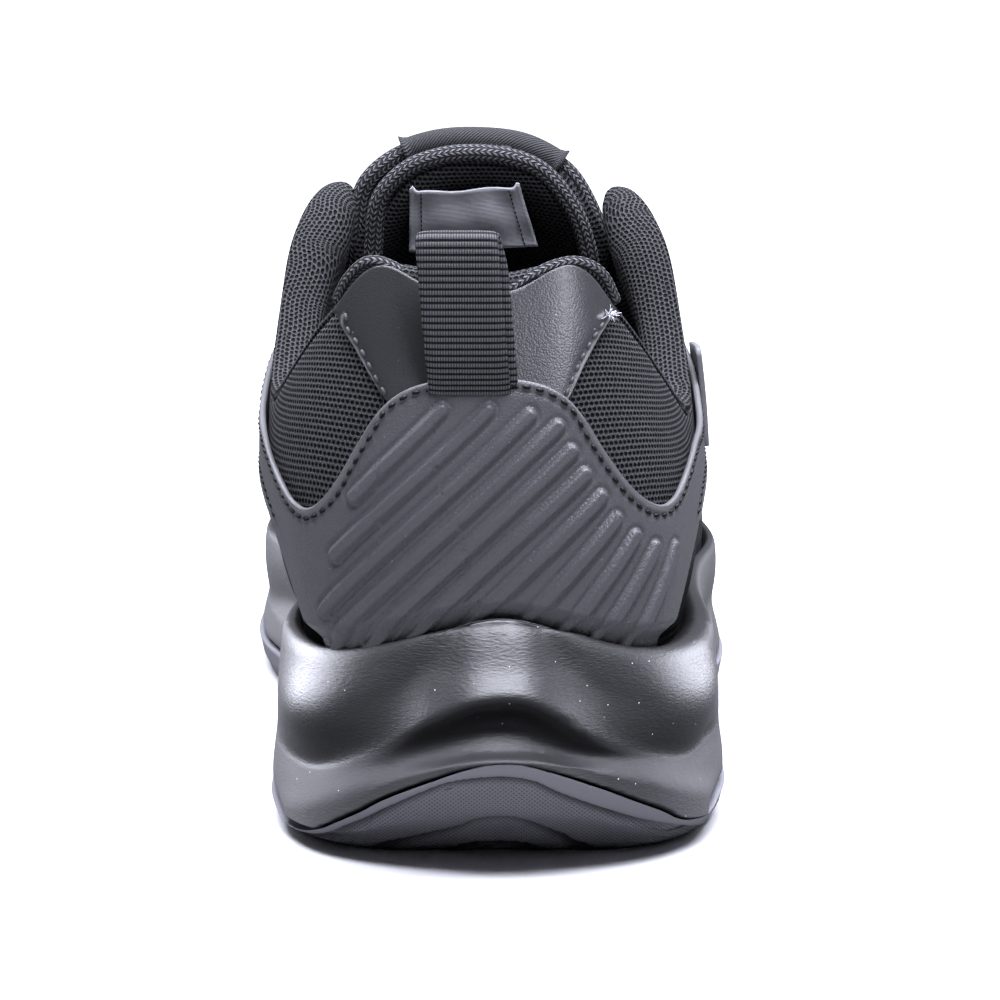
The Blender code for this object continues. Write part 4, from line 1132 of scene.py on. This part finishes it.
def panel(node, name, leather_skin, finest, keep, inside=SEAM_IN, sink=0.3, shape=None, thread=None):
    """A stitched overlay: its cut edge stands up a little outside a thread row that sinks into it."""
    piece = copy_of(node, name)
    if shape:
        set_points(piece, shape(points_of(piece)))
    rim = outline(piece)
    hold_edges(piece, 50, 0.95)
    refine(piece, 2)
    if finest:
        cut_finer(piece, finest, lambda p: inset(p) < 60)
    away = edge_distance(piece, rim)
    seam = keep(points_of(piece))
    strip = inside - 0.5
    press(piece, seam * sink * (0.6 * fade(away, strip, strip - 0.6) - bump(away, inside, 0.6)))
    mark(piece, "cut_edge", seam * fade(away, strip, strip - 0.5))
    dress(piece, leather_skin)
    rows = [evened(row) for row in inward_row(piece, rim, inside, keep)]
    sew(name + "_thread", rows, surface_of(piece), thread or THREAD, "grain")
    return piece


def heel_counter():
    def into_sole(points):
        points[:, 2] -= COUNTER_DOWN * fade(points[:, 2], 54, 46) * fade(points[:, 1], -85, -100)
        return points

    def top_edge(points):
        return (points[:, 2] > 62) & (np.abs(points[:, 0]) < 60)

    piece = panel(
        "heel_counter", "heel_counter_skin", COUNTER_LEATHER, COUNTER_FINE, top_edge, shape=into_sole
    )
    cut_finer(piece, BAR_FINE, lambda p: (np.abs(unroll(p)[0]) < 48) & (p[:, 2] < 90), facing_out=True)
    u, z = unroll(points_of(piece))
    press(piece, bar_relief(u, z) * fade(outwardness(piece), 0.0, 0.2))
    set_points(piece, tucked(points_of(piece), *COUNTER_TUCK))
    return piece


def heel_tab():
    def peaked(points):
        u, z = unroll(points)
        low = fade(z, 102, 93)
        peaks = sum(bump(u, at, TAB_PEAK_HALF) for at in TAB_PEAKS_AT)
        points[:, 2] += TAB_PEAK_RISE * peaks * fade(z, 100, 109) - TAB_CORNER_DOWN * low
        points[:, 0] = TAB_AT + (points[:, 0] - TAB_AT) * (0.97 - 0.1 * low)
        return points

    def side_edges(points):
        return (points[:, 2] > 90) & (np.abs(points[:, 0] - TAB_AT) > 16) & (points[:, 2] < 105)

    look = {"inside": TAB_SEAM_IN, "sink": 0.1, "shape": peaked, "thread": PALE_THREAD}
    return panel("heel_tab", "heel_tab_skin", TAB_LEATHER, TAB_FINE, side_edges, **look)


def fray(name):
    """A tuft of loose thread ends where a seam has come open."""
    rng = np.random.default_rng(11)
    threads = []
    for index in range(FRAY_THREADS):
        way = unit(np.array(FRAY_WAY) + rng.normal(0, 0.75, 3))
        reach = FRAY_LONG * rng.uniform(0.4, 1.0)
        droop = rng.normal(0, 0.3, 3)
        path = [FRAY_SPOT + way * reach * share + droop * share**2 for share in (0.0, 0.35, 0.7, 1.0)]
        threads.append(tube(f"{name}_{index}", path, FRAY_RADIUS, 3, 0.4, FRAY_THREAD, "grain"))
    take(*threads)
    bpy.ops.object.join()
    piece = bpy.context.object
    piece.name = name
    return piece


def label():
    """Bare woven label: a thin crumpled sheet with a sewn hem at each end."""
    one, two, three, four = [np.array(corner) for corner in LABEL_CORNERS]
    across = np.linspace(0, 1, LABEL_COLUMNS + 1)
    down = np.linspace(0, 1, LABEL_ROWS + 1)
    tops = [one * (1 - share) + two * share for share in across]
    feet = [four * (1 - share) + three * share for share in across]
    sheet = np.array([[top * (1 - d) + foot * d for top, foot in zip(tops, feet)] for d in down])
    wave = 0.5 * np.sin(7.0 * across + 1.0) + 0.35 * np.sin(16.0 * across)
    fall = np.sin(np.pi * down)
    sheet[:, :, 1] += fall[:, None] * wave[None, :] + 0.25 * np.sin(9 * down)[:, None]
    ears = bump(across, 0.02, 0.025) + bump(across, 0.985, 0.025)
    sheet[:, :, 2] += (1 - down)[:, None] ** 6 * (LABEL_EAR * ears + 0.25 * np.sin(11 * across))[None, :]
    piece = skin("tongue_label_cloth", sheet, tube=False)
    take(piece)
    bpy.ops.object.modifier_add(type="SOLIDIFY")
    piece.modifiers[-1].thickness = LABEL_THICK * MM
    piece.modifiers[-1].offset = 0.0
    bpy.ops.object.modifier_apply(modifier=piece.modifiers[-1].name)
    dress(piece, LABEL_WEAVE)
    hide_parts("tongue_label")
    hem = LABEL_HEM / np.linalg.norm(two - one)
    columns = [int(round(share * LABEL_COLUMNS)) for share in (hem, 1 - hem)]
    rows = [sheet[1:LABEL_ROWS, column] + (0.0, -0.25, 0.0) for column in columns]
    fine = {"pitch": 1.1, "length": 0.8, "thick": 0.3}
    sew("tongue_label_thread", rows, surface_of(piece), THREAD, "label", **fine)
    return piece


def small_copy(node, name, skin_material, levels, firmness, sharper=40):
    piece = copy_of(node, name)
    if firmness:
        hold_edges(piece, sharper, firmness)
    refine(piece, levels)
    points = points_of(piece)
    lay_cloth(piece, points[:, 0], points[:, 2])
    return dress(piece, skin_material)


def tongue():
    piece = copy_of("tongue", "tongue_pad")
    refine(piece, 3)
    x, y, z = points_of(piece).T
    lay_cloth(piece, x, 0.9 * z - 0.5 * y)
    return dress(piece, TONGUE_KNIT)


def tube(name, path, radius, sides, step, material_of, slot):
    """A round roll along a path."""
    spots = even_path(path, step)
    ways = ways_of(spots)
    across = unit(np.cross(ways, (0.0, 1.0, 0.0)))
    over = np.cross(across, ways)
    turns = np.linspace(0, 2 * np.pi, sides, endpoint=False)
    rings = [
        spot + radius * (np.outer(np.cos(turns), one) + np.outer(np.sin(turns), two))
        for spot, one, two in zip(spots, across, over)
    ]
    return dress(skin(name, rings), material_of)


def tongue_tape():
    """Tape folded over the crown of the tongue's outer roll, with a little point at each end."""
    spots = even_path(OUTER_ROLL, 0.8)
    spots = spots[(spots[:, 0] < TAPE_ENDS[0]) & (spots[:, 0] > TAPE_ENDS[1]) & (spots[:, 2] > 120)]
    ways = ways_of(spots)
    back = np.array([0.0, -1.0, 0.0])
    sections = []
    for share, spot, way in zip(np.linspace(-1, 1, len(spots)), spots, ways):
        up = np.cross(back, way)
        up *= np.sign(up[2]) / np.linalg.norm(up)
        flare = TAPE_FLARE * np.clip(np.abs(share) - 0.93, 0, None) / 0.07
        layer = []
        for rise in (TAPE_LIFT, TAPE_LIFT + TAPE_THICK):
            radius = OUTER_ROLL_RADIUS + rise
            turns = np.radians(np.linspace(-35, 180, 20))
            behind = np.outer(np.cos(turns) * (radius + flare * np.cos(turns)), back)
            arc = list(spot + behind + np.outer(np.sin(turns) * (radius + flare), up))
            arc += [arc[-1] - up * drop for drop in (1.5, 3.0, 4.5, 6.0)]
            layer.append(arc)
        sections.append(layer[1] + layer[0][::-1])
    piece = dress(skin("tongue_tab_tape", sections), TAB_TWILL)
    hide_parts("tongue_tab")
    return piece


def pull_loop():
    """Ribbed tape folded into a loop, its two layers a little apart and slipped sideways."""
    path = even_path([(0.0, y, z) for y, z in LOOP_PATH], LOOP_RIB / 7)
    run = run_of(path)
    out = np.cross(ways_of(path), (1.0, 0.0, 0.0))
    fold = run[np.argmax(path[:, 2])]
    layer = fade(run, fold - 3, fold + 8)
    lean = np.interp(path[:, 2], (LOOP_PATH[0][1], 121), LOOP_LEAN)
    middle = lean + LOOP_SLIP * layer
    sections = []
    shares = np.linspace(-0.5, 0.5, 17)
    rib = LOOP_RIB_RISE * np.abs(np.sin(np.pi * run / LOOP_RIB)) ** 0.6
    for spot, side, x, rise in zip(path, out, middle, rib):
        edge = 1 - np.abs(2 * shares) ** 8
        thick = LOOP_THICK / 2 * (0.55 + 0.45 * edge) + rise * edge
        row = spot + np.outer(x + shares * LOOP_WIDE, (1.0, 0.0, 0.0))
        half = np.outer(thick, side)
        sections.append(np.concatenate([row + half, (row - half)[::-1]]))
    piece = skin("pull_loop_tape", sections)
    # Painted shade in the valleys between the loop's ribs
    mark(piece, "shaded_valley", np.repeat(1 - rib / LOOP_RIB_RISE, 2 * len(shares)))
    lay_cloth(piece, np.repeat(run, 2 * len(shares)), points_of(piece)[:, 0])
    dress(piece, LOOP_WEBBING)
    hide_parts("pull_loop")
    return piece


def ring_axis(node):
    """Middle of an eyelet and the way it faces, read from its solid."""
    points = points_of(NODES[node])
    middle = points.mean(axis=0)
    axis = np.linalg.svd(points - middle, full_matrices=False)[2][2]
    return middle, axis * np.sign(axis[2])


def lace_strap(name, start, end, cover, over):
    """A flat lace between two eyelets: up through the ring, over the tongue, and down again."""
    one, out_one = ring_axis(start)
    two, out_two = ring_axis(end)
    way = unit(two - one)
    path = [one - LACE_END * out_one, one + 0.5 * out_one, one + LACE_OUT * out_one + LACE_BEND * way]
    for share in (0.3, 0.5, 0.7):
        spot = one + (two - one) * share
        hit = cover.ray_cast(Vector((spot[0], spot[1], 300.0)), Vector((0.0, 0.0, -1.0)))[0]
        height = hit.z - LACE_SINK if hit else spot[2] + 3.0
        path.append((spot[0], spot[1], height + (LACE_CROSS * over if share == 0.5 else 0.0)))
    path += [two + LACE_OUT * out_two - LACE_BEND * way, two + 0.5 * out_two, two - LACE_END * out_two]
    spots = even_path(path, 0.9)
    run = run_of(spots)
    from_end = np.minimum(run, run[-1] - run)
    turns = np.linspace(0, 2 * np.pi, 14, endpoint=False)
    flat = np.sign(np.cos(turns)) * np.abs(np.cos(turns)) ** 0.6
    side_way = unit(np.cross(way, (0.0, 0.0, 1.0)))
    sections = []
    for spot, ahead, near in zip(spots, ways_of(spots), from_end):
        up = np.cross(side_way, ahead)
        wide = LACE_NARROW + (LACE_WIDE - LACE_NARROW) * fade(near, 1.5, 7.5)
        deep = LACE_THICK + LACE_GATHER * fade(near, 5.0, 1.0)
        across = np.outer(flat * wide / 2, side_way)
        sections.append(spot + across + np.outer(np.sin(turns) * deep / 2, up))
    return dress(skin(name, sections), LACE_WEAVE)


def laces():
    cover = surface_of(NODES["lace"])
    front = lace_strap("lace_front", f"eyelet_lateral_{EYELETS}", f"eyelet_medial_{EYELETS}", cover, 0)
    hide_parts("lace")
    for step in range(1, EYELETS):
        for index, (start, end) in enumerate((("lateral", "medial"), ("medial", "lateral"))):
            over = 1 if (step + index) % 2 else -1
            strap = lace_strap(
                f"lace_{step}_{start}", f"eyelet_{start}_{step}", f"eyelet_{end}_{step + 1}", cover, over
            )
            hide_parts("lace")


SOLE_FOAM = midsole(*outsole())
small_copy("insole", "insole_cover", INSOLE_CLOTH, levels=1, firmness=0.5)
upper()
collar_lining()
heel_counter()
TAB = heel_tab()
small_copy("toe_cap", "toe_cap_skin", COUNTER_LEATHER, levels=2, firmness=0.95)
for side in ("lateral", "medial"):
    panel(f"eyestay_{side}", f"eyestay_{side}_skin", COUNTER_LEATHER, 0, lambda p: p[:, 2] > 0)
tongue()
tube("tongue_outer_roll", OUTER_ROLL, OUTER_ROLL_RADIUS, 16, 0.7, PIPING_KNIT, "knit")
tube("tongue_inner_roll", INNER_ROLL, INNER_ROLL_RADIUS, 16, 0.7, PIPING_KNIT, "knit")
tongue_tape()
label()
tube("heel_tab_roll", TAB_ROLL, TAB_ROLL_RADIUS, 14, 0.6, PIPING_KNIT, "knit")
fray("heel_tab_fray")
pull_loop()
small_copy("side_tag", "side_tag_tab", TAG_RUBBER, levels=2, firmness=0.7)
laces()
for node in [name for name in NODES if name.startswith("eyelet_")]:
    small_copy(node, node + "_ring", EYELET_PLASTIC, levels=2, firmness=0.0)


# Floor, light and camera

def floor():
    """Pale paper, burnt out to white for the camera and darker to the shoe."""
    bpy.ops.mesh.primitive_plane_add(size=FLOOR_SIZE, location=(0, FLOOR_AHEAD, 0))
    plane = bpy.context.object
    plane.name = "floor"
    made, b, shader = material("pale floor", 0.9, 0.1)
    place = b.place("Object")
    rays = b.put("LightPath").outputs
    seen = rays["Is Camera Ray"]
    paper = b.mix(b.noise(place, 3.0), even(0.93), even(0.95))
    unseen = b.mix(rays["Is Diffuse Ray"], even(0.12), even(0.45))
    b.feed(shader["Base Color"], b.mix(seen, unseen, paper))
    from_shoe = b.turned(place, shift=(0.0, FLOOR_AHEAD, 0.0))
    away = b.put("VectorMath", {"operation": "LENGTH"}, Vector=from_shoe).outputs["Value"]
    shader["Emission Color"].default_value = (1, 1, 1, 1)
    b.feed(shader["Emission Strength"], b.times(seen, b.ramp(away, 0.3, 0.7)))
    plane.data.materials.append(made)
    return plane


def softbox(name, spot, aim, size, power, only=(), skip=()):
    """A rectangular lamp, in metres and watts, flagged to light only some pieces or to skip some."""
    bpy.ops.object.light_add(type="AREA", location=spot)
    lamp = bpy.context.object
    lamp.name = name
    lamp.data.shape = "RECTANGLE"
    lamp.data.size, lamp.data.size_y = size
    lamp.data.energy = power
    lamp.data.color = COOL_LIGHT
    lamp.rotation_euler = (Vector(aim) - Vector(spot)).to_track_quat("-Z", "Y").to_euler()
    if only or skip:
        flags = bpy.data.collections.new(name + "_flags")
        for piece in [*only, *skip]:
            flags.objects.link(piece)
        for entry in flags.collection_objects:
            entry.light_linking.link_state = "EXCLUDE" if skip else "INCLUDE"
        lamp.light_linking.receiver_collection = flags


def dome():
    """A light tent: bright overhead, on the sides and beyond the toe, and dark on the camera's side."""
    world = bpy.data.worlds.new("studio")
    bpy.context.scene.world = world
    world.use_nodes = True
    b = Board(world.node_tree)
    sky = world.node_tree.nodes["Background"]
    _, ahead, up = b.parts(b.place("Generated"))
    lit = b.plus(b.times(ahead, 0.75), b.times(up, 0.65))
    b.feed(sky.inputs["Color"], COOL_LIGHT + (1.0,))
    low = b.ramp(up, 0.05, 0.5, 0.1, 1.0)
    tent = b.times(low, b.ramp(lit, 0.3, 0.8, 0.02, 0.7))
    seen = b.put("LightPath").outputs["Is Camera Ray"]
    b.feed(sky.inputs["Strength"], b.work("MAXIMUM", tent, b.times(seen, 1.2)))


def camera():
    bpy.ops.object.camera_add(location=EYE, rotation=(math.radians(90 - PITCH), 0, 0))
    lens = bpy.context.object
    lens.data.lens = LENS
    lens.data.sensor_width = 36
    lens.data.clip_start = 0.01
    bpy.context.scene.camera = lens


FLOOR = floor()
dome()
softbox("left_box", (-0.85, 0.25, 0.22), (0, -0.12, 0.05), (1.1, 0.42), 27, only=[SOLE_FOAM])
softbox("right_box", (0.88, 0.25, 0.22), (0, -0.12, 0.05), (1.1, 0.42), 22, only=[SOLE_FOAM])
softbox("ramp_box", (0.05, -0.75, 0.85), (0, -0.14, 0.04), (1.3, 0.45), 66, only=[SOLE_FOAM])
softbox("fill_box", (0.15, -0.6, 1.0), (0, -0.14, 0.08), (0.6, 0.3), 13, skip=[FLOOR, SOLE_FOAM])
softbox("rear_box", (0.55, -0.95, 0.42), (0, -0.14, 0.1), (0.5, 0.4), 12, only=[TAB])
softbox("top_box", (0.0, 0.0, 1.0), (0, 0.0, 0.05), (1.3, 0.44), 36)
camera()
bpy.context.scene.view_settings.view_transform = "Standard"
